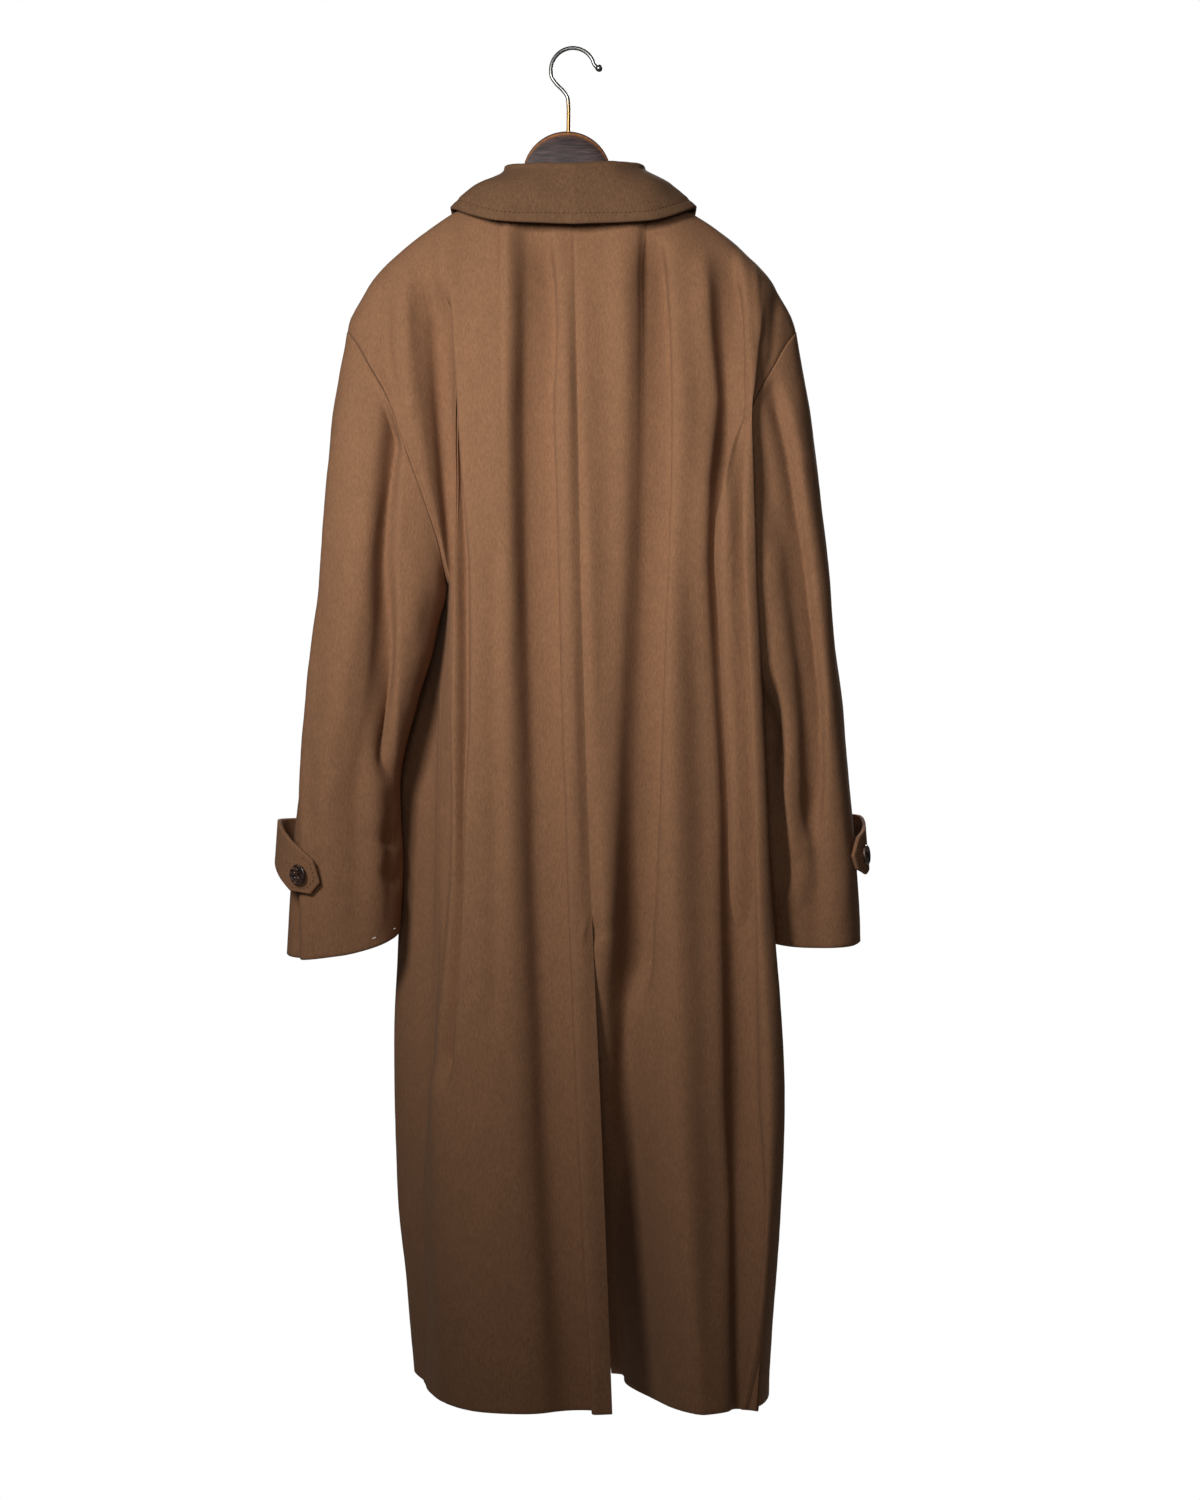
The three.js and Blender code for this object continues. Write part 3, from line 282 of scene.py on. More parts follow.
# Collar stations from the centre of the back to the front end, for the wearer's left:
# roll is the top of the fold and edge is the lower edge of the fall
COLLAR = {
    "rollX": [0, 36, 66, 58, 22],
    "rollY": [31, 26, -3, -38, -42],
    "rollZ": [-119, -117, -114, -146, -180],
    "edgeX": [0, 76, 125, 112, 62],
    "edgeY": [49, 44, 0, -54, -64],
    "edgeZ": [-181, -177, -157, -205, -262],
}

# Sleeve tabs: turns of the root and the end, heights there and in between, and how far they stand off
TAB_HALF = 21
TAB_KNOTS = [0, 0.35, 0.72, 1]
TAB_POINT_FROM = 0.86
TAB_POINT_WIDTH = 0.35
TAB_BUTTON_AT = 0.85
LEFT_TAB = {
    "turn": [-0.07, 0.02, 0.12, 0.19],
    "z": [-790, -792, -812, -836],
    "off": [-0.35, 13.5, 12, 4.5],
    "spare": {"turn": -0.04, "z": -832, "off": -0.7},
}
RIGHT_TAB = {
    "turn": [-0.15, -0.05, 0.04, 0.1],
    "z": [-786, -788, -800, -812],
    "off": [-0.35, 9, 9, 3.5],
    "spare": {"turn": -0.1, "z": -832, "off": -0.1},
}

# Hook wire on both sides of its round top: place across and height
HOOK_TIP = [[-27.5, -19.5], [-24.5, -18.4], [-21.5, -17]]
HOOK_LOWER = [[23.2, -27], [18.5, -34], [12, -40.5], [7.6, -47], [SHANK_X, -55], [SHANK_X, -83]]


# Numbers and curves

def smooth(share):
    t = np.clip(share, 0, 1)
    return t * t * (3 - 2 * t)


def lerp(start, end, share):
    return start + (end - start) * share


def points(x, y, z):
    return np.stack(np.broadcast_arrays(x, y, z), axis=-1).astype(float)


def length(vectors):
    return np.sqrt((vectors ** 2).sum(axis=-1, keepdims=True))


def unit(vectors):
    return vectors / np.maximum(length(vectors), 1e-9)


def curve(places, values):
    """A smooth curve through a table's column, without overshoot between its rows."""
    x, y = np.array(places, float), np.array(values, float)
    if x[0] > x[-1]:
        x, y = x[::-1], y[::-1]
    slopes = np.diff(y) / np.diff(x)
    product = slopes[:-1] * slopes[1:]
    total = np.where(product > 0, slopes[:-1] + slopes[1:], 1)
    inner = np.where(product > 0, 2 * product / total, 0)
    tangents = np.concatenate([slopes[:1], inner, slopes[-1:]])

    def at(place):
        inside = np.clip(place, x[0], x[-1])
        k = np.clip(np.searchsorted(x, inside) - 1, 0, len(x) - 2)
        step = x[k + 1] - x[k]
        t = (inside - x[k]) / step
        start = y[k] * (1 + 2 * t) * (1 - t) ** 2 + tangents[k] * step * t * (1 - t) ** 2
        return start + y[k + 1] * t * t * (3 - 2 * t) + tangents[k + 1] * step * t * t * (t - 1)

    return at


def curves(table, over, columns):
    """Curves for every column of a table, over one of them."""
    return {column: curve(table[over], table[column]) for column in columns}


def spline(knots, places):
    """Centripetal Catmull-Rom curves along the second last axis of knots, at places in knot steps."""
    last = knots.shape[-2] - 1
    first_end = 2 * knots[..., :1, :] - knots[..., 1:2, :]
    last_end = 2 * knots[..., -1:, :] - knots[..., -2:-1, :]
    all_knots = np.concatenate([first_end, knots, last_end], axis=-2)
    places = np.asarray(places, float)
    k = np.minimum(np.floor(places).astype(int), last - 1)
    t = (places - k)[:, None]
    p0, p1, p2, p3 = (all_knots[..., k + j, :] for j in range(4))
    step1 = np.sqrt(length(p2 - p1))
    step1 = np.where(step1 < 1e-4, 1, step1)
    step0 = np.sqrt(length(p1 - p0))
    step0 = np.where(step0 < 1e-4, step1, step0)
    step2 = np.sqrt(length(p3 - p2))
    step2 = np.where(step2 < 1e-4, step1, step2)
    way1 = ((p1 - p0) / step0 - (p2 - p0) / (step0 + step1) + (p2 - p1) / step1) * step1
    way2 = ((p2 - p1) / step1 - (p3 - p1) / (step1 + step2) + (p3 - p2) / step2) * step1
    cubic = 2 * p1 - 2 * p2 + way1 + way2
    square = -3 * p1 + 3 * p2 - 2 * way1 - way2
    return p1 + way1 * t + square * t * t + cubic * t ** 3


# The body

shoulder_z = curve(SHOULDER["out"], SHOULDER["z"])
armhole_out = curve(ARMHOLE["z"], ARMHOLE["out"])
body = curves(BODY, "z", ["left", "right", "back", "front"])


def shoulder_y(out):
    return lerp(NECK_SEAM_Y, TIP_Y, np.clip((out - NECK_HALF) / (TIP_HALF - NECK_HALF), 0, 1))


def top_edge(x, face):
    """The coat's top edge at a place across it: the neckline, then the shoulder seam."""
    x = np.asarray(x, float)
    out = np.abs(x) / np.where(x < 0, RIGHT_SHARE, 1)
    dip = np.sqrt(np.maximum(0, 1 - np.minimum(out / NECK_HALF, 1) ** NECK_SQUARE))
    drop, depth = (NECK_BACK_DROP, NECK_BACK_DEPTH) if face > 0 else (NECK_FRONT_DROP, -NECK_FRONT_DEPTH)
    past = out >= NECK_HALF
    y = np.where(past, shoulder_y(out), NECK_SEAM_Y + depth * dip)
    z = np.where(past, shoulder_z(out), NECK_POINT_Z - drop * dip)
    return points(x, y, z)


def body_depth(x, z, face):
    """Depth of the plain body section, on its back (face 1) or front (face -1)."""
    middle = (body["left"](z) + body["right"](z)) / 2
    half = (body["left"](z) - body["right"](z)) / 2
    share = np.minimum(1, np.abs(x - middle) / half)
    reach = (body["back"](z) if face > 0 else body["front"](z)) - BODY_SIDE_Y
    return BODY_SIDE_Y + reach * (1 - share ** BODY_SQUARE) ** (1 / BODY_SQUARE)


def shoulder_turn(drop):
    left = 1 - np.clip(drop / SHOULDER_ROUND, 0, 1)
    return np.sqrt(1 - left * left)


def row_z(top, hem, share):
    """Height of a row on a line with a given top and hem: all rows are level at the underarm."""
    upper = lerp(top, UNDERARM_Z, share / ARM_SHARE)
    lower = lerp(UNDERARM_Z, hem, (share - ARM_SHARE) / (1 - ARM_SHARE))
    return np.where(share <= ARM_SHARE, upper, lower)


def fold_line(fold, face):
    """One fold line of a panel, as a function of the share of the way down."""
    across = curve(LEVELS, fold["x"])
    second = curve(LEVELS, fold["y"] if "y" in fold else fold["out"])
    top = top_edge(fold["x"][0], face)

    def at(share):
        z = row_z(top[2], HEM_BACK_Z if face > 0 else HEM_FRONT_Z, share)
        x = across(share)
        y = second(share) if "y" in fold else body_depth(x, z, face) + face * second(share)
        return points(x, lerp(top[1], y, shoulder_turn(top[2] - z)) - face * fold.get("drop", 0), z)

    return at


def track_line(track, face):
    """A line of a panel given by its own heights."""
    path = curves(track, "z", ["x", "y"])
    top = top_edge(track["x"][0], face)

    def at(share):
        z = row_z(top[2], HEM_BACK_Z if face > 0 else HEM_FRONT_Z, share)
        return points(path["x"](z), lerp(top[1], path["y"](z), shoulder_turn(top[2] - z)), z)

    return at


def armhole(side, turn):
    """Armhole edge: turn 0 is the shoulder tip, 0.25 the back, 0.5 the underarm and 0.75 the front."""
    angle = 2 * math.pi * np.asarray(turn, float)
    drop = (1 - np.cos(angle)) / 2
    z = lerp(TIP_Z, UNDERARM_Z, drop)
    scoop = ARMHOLE_SCOOP * np.maximum(0, -np.sin(angle)) ** 3
    share = 1 if side > 0 else RIGHT_SHARE
    y = lerp(TIP_Y, UNDERARM_Y, drop) + ARMHOLE_DEPTH * np.sin(angle)
    return points(side * share * (armhole_out(z) - scoop), y, z)


def side_line(seam, side, face):
    """The outer edge of a panel: its half of the armhole, then the side seam."""
    path = curves(seam, "z", ["x", "y"])

    def at(share):
        turn = np.arccos(np.clip(1 - 2 * share / ARM_SHARE, -1, 1)) / (2 * math.pi)
        z = row_z(TIP_Z, HEM_SIDE_Z, share)
        low = points(path["x"](z), path["y"](z), z)
        high = armhole(side, turn if face > 0 else 1 - turn)
        return np.where((share <= ARM_SHARE)[:, None], high, low)

    return at


def lap_line(inset, reach):
    """The right back below the vent: its edge slides under the left back and falls away behind it."""
    seam = fold_line(LEFT_BACK_FOLDS["seam"], 1)

    def at(share):
        point = seam(share)
        under = smooth((share - VENT_FROM) / (VENT_TOP - VENT_FROM))
        slide = smooth((share - VENT_TOP) / (VENT_SLID - VENT_TOP))
        fall = np.clip((share - VENT_TOP) / (1 - VENT_TOP), 0, 1)
        point[:, 0] += reach * slide * (1 - fall) - inset * (1 - LAP_NARROWS * fall)
        point[:, 1] -= OVERLAP_DROP * under + LAP_DEEP * fall ** LAP_CURVE
        return point

    return at


def body_rows():
    """Shares of the way down at which the body's rows lie."""
    even = np.arange(ARM_ROWS + 1) / ARM_ROWS
    arm = ARM_SHARE * (even - ARM_CROWDING * np.sin(2 * math.pi * even) / (2 * math.pi))
    low = lerp(ARM_SHARE, 1, np.arange(1, LOWER_ROWS + 1) / LOWER_ROWS)
    return np.concatenate([arm, low])


def panel_places(lines):
    """Places of a panel's columns in fold lines, closer together at its two edges."""
    last = lines - 1
    even = np.arange(last * COLUMNS_PER_FOLD + 1) / COLUMNS_PER_FOLD
    extra = np.array(SEAM_COLUMNS)
    return np.sort(np.concatenate([even, extra, last - extra]))


def panel_grid(lines, face):
    """Every row is a smooth curve through the lines, and the first is the top edge."""
    shares = body_rows()
    places = panel_places(len(lines))
    grid = spline(np.stack([line(shares) for line in lines], axis=1), places)
    ends = np.stack([line(np.zeros(1))[0] for line in lines])
    before = ends[np.floor(places).astype(int)]
    after = ends[np.ceil(places).astype(int)]
    part = places - np.floor(places)
    top = top_edge(lerp(before[:, 0], after[:, 0], part), face)
    drop = lerp(before[:, 1] - top_edge(before[:, 0], face)[:, 1],
                after[:, 1] - top_edge(after[:, 0], face)[:, 1], part)
    top[:, 1] += drop
    fade = (1 - shares) ** TOP_FADE
    return grid + (top - grid[0])[None] * fade[:, None, None]


def grid_normals(grid, closed=False):
    """Unit normals of a grid whose columns run clockwise round the form and whose rows run down."""
    wide = np.concatenate([grid, grid[:, :1]], axis=1) if closed else grid
    area = np.cross(wide[1:, 1:] - wide[:-1, :-1], wide[1:, :-1] - wide[:-1, 1:])
    normals = np.zeros_like(wide)
    for rows in (slice(None, -1), slice(1, None)):
        for columns in (slice(None, -1), slice(1, None)):
            normals[rows, columns] += area
    if closed:
        normals[:, 0] += normals[:, -1]
        normals = normals[:, :-1]
    return unit(normals)


def settle(normals, passes=8):
    """Normals averaged down the rows, so that a raised surface has no kinks between them."""
    for _ in range(passes):
        inner = (normals[:-2] + 2 * normals[1:-1] + normals[2:]) / 4
        normals = unit(np.concatenate([normals[:1], inner, normals[-1:]]))
    return normals


def body_grids():
    """The four panels, in order round the body: right back, left back, left front, right front."""
    lines = {
        "back_right": [
            side_line(RIGHT_SEAM, -1, 1),
            track_line(RIGHT_TUCK, 1),
            *[fold_line(fold, 1) for fold in RIGHT_RIM_FOLDS.values()],
            track_line(RIGHT_VALLEY, 1),
            *[fold_line(fold, 1) for fold in RIGHT_BACK_FOLDS.values()],
            lap_line(12, 4),
            lap_line(-SEAM_TUCK, LAP_WIDTH),
        ],
        "back_left": [
            *[fold_line(fold, 1) for fold in LEFT_BACK_FOLDS.values()],
            track_line(LEFT_BLADE, 1),
            side_line(LEFT_SEAM, 1, 1),
        ],
        "front_left": [
            side_line(LEFT_SEAM, 1, -1),
            track_line(LEFT_HIP, -1),
            *[fold_line(fold, -1) for fold in LEFT_FRONT_FOLDS.values()],
        ],
        "front_right": [
            *[fold_line(fold, -1) for fold in RIGHT_FRONT_FOLDS.values()],
            track_line(RIGHT_HIP, -1),
            side_line(RIGHT_SEAM, -1, -1),
        ],
    }
    return {name: panel_grid(set_, 1 if name.startswith("back") else -1) for name, set_ in lines.items()}


# Sleeves

def sleeve_section(sleeve, folds):
    """Sleeve section at a height: an oval through its four edges, with its folds on it."""
    edge = curves(sleeve, "z", ["outer", "inner", "back", "front"])
    lines = [
        (curve(SLEEVE_LEVELS, row["turn"]), curve(SLEEVE_LEVELS, row["out"]), row["width"]) for row in folds
    ]

    def at(turn, z):
        angle = 2 * math.pi * turn
        power = 2 / SLEEVE_SQUARE
        cosine = np.sign(np.cos(angle)) * np.abs(np.cos(angle)) ** power
        sine = np.sign(np.sin(angle)) * np.abs(np.sin(angle)) ** power
        half = (edge["outer"](z) - edge["inner"](z)) / 2
        deep = (edge["back"](z) - edge["front"](z)) / 2
        way = unit(points(cosine * deep * sleeve["side"], sine * np.abs(half), 0 * z))
        rise = 0
        for line_turn, line_out, width in lines:
            gap = turn - line_turn(z)
            rise = rise + line_out(z) * np.exp(-(((gap - np.round(gap)) / width) ** 2))
        point = points(edge["inner"](z) + half * (1 + cosine), edge["front"](z) + deep * (1 + sine), z)
        return point + way * rise[..., None] if lines else point

    return at


def sleeve_surface(sleeve, folds, gap=TIP_GAP):
    """A sleeve's surface by turn and height: it starts on the armhole and settles into its sections."""
    section = sleeve_section(sleeve, folds)

    def at(turn, z):
        start = armhole(sleeve["side"], turn)
        low = (1 - np.cos(2 * math.pi * turn)) / 2
        away = unit(points(lerp(TIP_OUT, 1, low) * sleeve["side"], 0 * low, -TIP_DOWN * (1 - low)))
        start = start + away * (SEAM + gap + UNDERARM_GAP * low * low)[..., None]
        settled = smooth((start[..., 2] - z) / lerp(TIP_SETTLE, UNDERARM_SETTLE, low))
        shift = start - section(turn, start[..., 2])
        return section(turn, z) + shift * (1 - settled)[..., None]

    return at


def cuff_z(sleeve, turn):
    angle = 2 * math.pi * turn
    hem = sleeve["hem"]
    return hem["middle"] + hem["outer"] * np.cos(angle) + hem["back"] * np.sin(angle)


def sleeve_normal(sleeve, surface, turn, z):
    along = surface(turn + 0.01, z) - surface(turn - 0.01, z)
    down = surface(turn, z - 4) - surface(turn, z + 4)
    return unit(np.cross(along, down) * -sleeve["side"])


def sleeve_grid(sleeve, folds):
    surface = sleeve_surface(sleeve, folds)
    turn = np.arange(SLEEVE_AROUND)[None, :] / SLEEVE_AROUND
    share = np.arange(SLEEVE_ROWS + 1)[:, None] / SLEEVE_ROWS
    high = (1 + np.cos(2 * math.pi * turn)) / 2
    start = armhole(sleeve["side"], turn)[..., 2] - TIP_DIP * high
    z = lerp(start, cuff_z(sleeve, turn), share)
    grid = surface(np.broadcast_to(turn, z.shape), z)
    return grid[:, ::-1] if sleeve["side"] > 0 else grid


# The collar

def neck_point(side, station):
    """The neckline at a collar station: 0 is the centre of the back, 2 the shoulder, 4 the front end."""
    if station <= 2:
        return top_edge(side * NECK_HALF * math.sin(math.pi / 4 * station), 1)
    return top_edge(side * lerp(NECK_HALF, 15, 1 - math.cos(math.pi / 4 * (station - 2))), -1)


def collar_grid():
    """A stand on the neckline, rolled over at the top, and the fall outside it."""
    path = curves({"station": [0, 1, 2, 3, 4], **COLLAR}, "station", list(COLLAR))

    def at(line, place):
        side = -RIGHT_SHARE if place < 0 else 1
        station = abs(place)
        return points(side * path[line + "X"](station), path[line + "Y"](station), path[line + "Z"](station))

    columns = []
    for c in range(COLLAR_COLUMNS + 1):
        place = 4 * (2 * c / COLLAR_COLUMNS - 1)
        station = abs(place)
        roll, edge = at("roll", place), at("edge", place)
        along = at("roll", min(4, place + 0.1)) - at("roll", max(-4, place - 0.1))
        out = unit(points(-along[1], along[0], 0))
        neck = neck_point(-RIGHT_SHARE if place < 0 else 1, station) - out * COLLAR_INSET
        neck[2] += COLLAR_LIFT + COLLAR_FRONT_LIFT * smooth((station - 1.9) / 0.6)
        centre = roll - points(0, 0, ROLL_RADIUS)
        column = [neck, (neck + centre - out * ROLL_RADIUS) / 2]
        for k in range(5):
            angle = math.pi * (1 - k / 4)
            aside = out * ROLL_RADIUS * math.cos(angle)
            column.append(centre + aside + points(0, 0, ROLL_RADIUS * math.sin(angle)))
        shoulder = column[-1]
        swell = 1 + SIDE_SWELL * math.exp(-((station - SIDE_SWELL_AT) / SIDE_SWELL_WIDTH) ** 2)
        for share, bulge in zip(FALL_BULGE["share"], FALL_BULGE["out"]):
            column.append(lerp(shoulder, edge, share) + out * bulge * swell)
        column.append(edge)
        columns.append(np.stack(column))
    knots = np.stack(columns)
    steps = (knots.shape[1] - 1) * COLLAR_ROWS_PER_POINT
    return spline(knots, np.arange(steps + 1) / COLLAR_ROWS_PER_POINT).transpose(1, 0, 2)


# Meshes

def new_object(name, vertices, faces, material, flat=False):
    mesh = bpy.data.meshes.new(name)
    mesh.from_pydata((np.asarray(vertices) * MM).tolist(), [], faces)
    mesh.validate()
    mesh.shade_flat() if flat else mesh.shade_smooth()
    mesh.materials.append(material)
    piece = bpy.data.objects.new(name, mesh)
    bpy.context.scene.collection.objects.link(piece)
    return piece


def wall_faces(rows, columns, closed):
    """Faces of a closed wall: an outer and an inner grid, joined at the lower edge by one more row."""
    under = rows * columns
    faces = []
    spans = columns if closed else columns - 1
    for c in range(spans):
        d = (c + 1) % columns
        for r in range(rows - 1):
            a, b = r * columns, (r + 1) * columns
            faces.append((a + c, a + d, b + d, b + c))
            faces.append((under + a + c, under + b + c, under + b + d, under + a + d))
    first = 2 * under
    top, bottom = 0, (rows - 1) * columns
    for c in range(spans):
        d = (c + 1) % columns
        low = first + c, first + d
        faces.append((bottom + c, bottom + d, low[1], low[0]))
        faces.append((low[0], low[1], under + bottom + d, under + bottom + c))
        faces.append((top + d, top + c, under + top + c, under + top + d))
    if not closed:
        for r in range(rows - 1):
            a, b = r * columns, (r + 1) * columns
            faces.append((a, b, under + b, under + a))
            faces.append((b + columns - 1, a + columns - 1, under + a + columns - 1, under + b + columns - 1))
        corner = (rows - 1) * columns
        faces.append((corner, first, under + corner))
        faces.append((first + columns - 1, corner + columns - 1, under + corner + columns - 1))
    return faces


def ring_faces(rings, around, first=0, turned=False):
    """Faces of a closed skin over rings of points, with one face at each end."""
    faces = []
    for r in range(rings - 1):
        for a in range(around):
            b = (a + 1) % around
            here, there = first + r * around, first + (r + 1) * around
            faces.append((here + a, here + b, there + b, there + a))
    last = first + (rings - 1) * around
    faces.append(tuple(range(first, first + around))[::-1])
    faces.append(tuple(range(last, last + around)))
    return [face[:1] + face[:0:-1] for face in faces] if turned else faces


def wall(name, grid, normals, thickness, material, closed=False, rim=0.4):
    """A cloth wall with a rounded lower edge, from its outer grid."""
    rows, columns = grid.shape[:2]
    inner = grid - normals * thickness
    down = unit(grid[-1] - grid[-3])
    edge = (grid[-1] + inner[-1]) / 2 + down * thickness * rim
    vertices = np.concatenate([grid.reshape(-1, 3), inner.reshape(-1, 3), edge])
    return new_object(name, vertices, wall_faces(rows, columns, closed), material)


# Surface detail

def segment_distance(flat, path):
    """Distance of flat points to a path, which side of it they are on, and how far along it, from 0 to 1."""
    path = np.asarray(path, float)
    lengths = np.hypot(*np.diff(path, axis=0).T)
    total = lengths.sum()
    best = np.full(flat.shape[:-1], np.inf)
    along = np.zeros(flat.shape[:-1])
    side = np.zeros(flat.shape[:-1])
    done = 0.0
    for start, end, span in zip(path[:-1], path[1:], lengths):
        way = (end - start) / span
        t = np.clip(((flat - start) * way).sum(axis=-1), 0, span)
        gap = flat - start - t[..., None] * way
        distance = np.hypot(gap[..., 0], gap[..., 1])
        nearer = distance < best
        best = np.where(nearer, distance, best)
        side = np.where(nearer, way[0] * gap[..., 1] - way[1] * gap[..., 0], side)
        along = np.where(nearer, (done + t) / total, along)
        done += span
    return best, side, along


def crease_rise(grid, creases):
    """Rise of the cloth over creases: each has half widths on the wearer's left and right of its path."""
    flat = grid[..., [0, 2]]
    rise = np.zeros(grid.shape[:-1])
    for path, left, right, depth in creases:
        distance, side, along = segment_distance(flat, path)
        width = np.where(side > 0, left, right)
        span = length(np.diff(np.array(path, float), axis=0)).sum()
        taper = smooth(np.minimum(along, 1 - along) * span / (3 * (left + right)))
        rise += depth * taper * np.exp(-(distance / width) ** 2)
    return rise


def cloth_noise(grid, seed, scales):
    """Gentle unevenness: each scale is a size across, a size down and a height."""
    flat = grid.reshape(-1, 3)
    rise = np.zeros(len(flat))
    for k, (across, down, high) in enumerate(scales):
        shift = seed * 13.7 + k * 5.1
        values = [
            noise.noise(Vector((x / across + shift, y / across, z / down - shift)))
            for x, y, z in flat.tolist()
        ]
        rise += high * np.array(values)
    return rise.reshape(grid.shape[:-1])


# Materials

# Heights in metres between which the hook's steel turns to brass
BRASS_ENDS = (-0.062, -0.045)


def new_material(name, roughness, **settings):
    material = bpy.data.materials.new(name)
    material.use_nodes = True
    shader = material.node_tree.nodes["Principled BSDF"]
    shader.inputs["Roughness"].default_value = roughness
    for socket, value in settings.items():
        shader.inputs[socket.replace("_", " ")].default_value = value
    return material, shader


def add_node(material, kind, **settings):
    node = material.node_tree.nodes.new(kind)
    for name, value in settings.items():
        if name in node.inputs:
            node.inputs[name].default_value = value
        else:
            setattr(node, name, value)
    return node


def join(material, output, target):
    material.node_tree.links.new(output, target)


def object_place(material, scale, turn=(0, 0, 0)):
    place = add_node(material, "ShaderNodeTexCoord")
    mapping = add_node(material, "ShaderNodeMapping", Scale=scale, Rotation=turn)
    join(material, place.outputs["Object"], mapping.inputs["Vector"])
    return mapping.outputs["Vector"]


def noise_at(material, place, scale, detail=3, rough=0.6):
    texture = add_node(material, "ShaderNodeTexNoise", Scale=scale, Detail=detail, Roughness=rough)
    join(material, place, texture.inputs["Vector"])
    return texture.outputs["Fac"]


def ramp(material, fac, stops):
    node = add_node(material, "ShaderNodeValToRGB")
    elements = node.color_ramp.elements
    while len(elements) < len(stops):
        elements.new(0.5)
    for element, (place, colour) in zip(elements, stops):
        element.position = place
        element.color = (*colour, 1)
    join(material, fac, node.inputs["Fac"])
    return node.outputs["Color"]


def mix(material, kind, share, first, second):
    node = add_node(material, "ShaderNodeMix", data_type="RGBA", blend_type=kind)
    for socket, value in ((node.inputs[0], share), (node.inputs[6], first), (node.inputs[7], second)):
        if isinstance(value, bpy.types.NodeSocket):
            join(material, value, socket)
        else:
            socket.default_value = value
    return node.outputs[2]


def stretch(material, value, low, high, side="To"):
    """A value stretched to a range, or from one with side "From"."""
    node = add_node(material, "ShaderNodeMapRange", **{side + " Min": low, side + " Max": high})
    join(material, value, node.inputs["Value"])
    return node.outputs["Result"]


def bump(material, shader, height, strength, distance):
    node = add_node(material, "ShaderNodeBump", Strength=strength, Distance=distance)
    join(material, height, node.inputs["Height"])
    join(material, node.outputs["Normal"], shader.inputs["Normal"])


def wool_material(name, dark, middle, light):
    """Napped wool: a fine slanting nap, a heather of shades and a soft mottle."""
    material, shader = new_material(name, 0.93, Sheen_Weight=0.06, Sheen_Roughness=0.5, IOR=1.3)
    shader.inputs["Sheen Tint"].default_value = (0.85, 0.6, 0.42, 1)
    nap_place = object_place(material, (1, 1, 0.3), (0, math.radians(32), 0))
    nap = noise_at(material, nap_place, 620, 4, 0.7)
    cloud = noise_at(material, object_place(material, (1, 1, 1)), 55, 3, 0.6)
    fleck = noise_at(material, object_place(material, (1, 1, 1)), 1500, 2, 0.8)
    colour = ramp(material, nap, [(0.28, dark), (0.5, middle), (0.74, light)])
    soft = ramp(material, cloud, [(0.3, (0.95, 0.95, 0.95)), (0.7, (1.04, 1.03, 1.02))])
    colour = mix(material, "MULTIPLY", 1.0, colour, soft)
    grain = ramp(material, fleck, [(0.3, (0.86, 0.84, 0.84)), (0.7, (1.12, 1.14, 1.12))])
    colour = mix(material, "MULTIPLY", 1.0, colour, grain)
    join(material, colour, shader.inputs["Base Color"])
    join(material, stretch(material, nap, 0.86, 1.0), shader.inputs["Roughness"])
    bump(material, shader, nap, 0.35, 0.0008)
    return material


def horn_material():
    """Dark marbled horn with a satin polish."""
    material, shader = new_material("button_horn", 0.28, IOR=1.54, Coat_Weight=0.3, Coat_Roughness=0.15)
    vein = noise_at(material, object_place(material, (1, 1, 1.8), (0.4, 0.2, 0.6)), 140, 4, 0.6)
    colour = ramp(material, vein, [
        (0.34, (0.006, 0.003, 0.003)),
        (0.5, (0.03, 0.014, 0.01)),
        (0.6, (0.11, 0.055, 0.035)),
        (0.7, (0.3, 0.2, 0.14)),
    ])
    join(material, colour, shader.inputs["Base Color"])
    bump(material, shader, vein, 0.05, 0.0002)
    return material


def wood_material():
    """Dark varnished wood with a long grain and a worn line along its top edge."""
    material, shader = new_material("hanger_wood_finish", 0.46, IOR=1.4)
    grain = noise_at(material, object_place(material, (0.06, 1, 1)), 900, 4, 0.65)
    colour = ramp(material, grain, [
        (0.35, (0.012, 0.006, 0.006)),
        (0.5, (0.036, 0.018, 0.017)),
        (0.66, (0.085, 0.05, 0.046)),
    ])
    wear = add_node(material, "ShaderNodeAttribute", attribute_name="wear")
    patch = noise_at(material, object_place(material, (1, 1, 1)), 260, 3, 0.6)
    share = add_node(material, "ShaderNodeMath", operation="MULTIPLY")
    join(material, wear.outputs["Fac"], share.inputs[0])
    join(material, patch, share.inputs[1])
    worn = mix(material, "MIX", share.outputs["Value"], colour, (0.62, 0.24, 0.07, 1))
    join(material, worn, shader.inputs["Base Color"])
    bump(material, shader, grain, 0.2, 0.0003)
    return material


def metal_material():
    """Bright wire: steel above and a brass tint on the shank."""
    material, shader = new_material("hook_metal", 0.3, Metallic=1.0)
    place = add_node(material, "ShaderNodeTexCoord")
    split = add_node(material, "ShaderNodeSeparateXYZ")
    join(material, place.outputs["Object"], split.inputs["Vector"])
    height = stretch(material, split.outputs["Z"], *BRASS_ENDS, side="From")
    colour = ramp(material, height, [(0, (0.42, 0.26, 0.1)), (1, (0.3, 0.3, 0.29))])
    tarnish = noise_at(material, object_place(material, (1, 1, 1)), 300, 3, 0.6)
    shade = ramp(material, tarnish, [(0.3, (0.75, 0.74, 0.72)), (0.7, (1, 1, 1))])
    join(material, mix(material, "MULTIPLY", 1.0, colour, shade), shader.inputs["Base Color"])
    join(material, stretch(material, tarnish, 0.22, 0.42), shader.inputs["Roughness"])
    return material


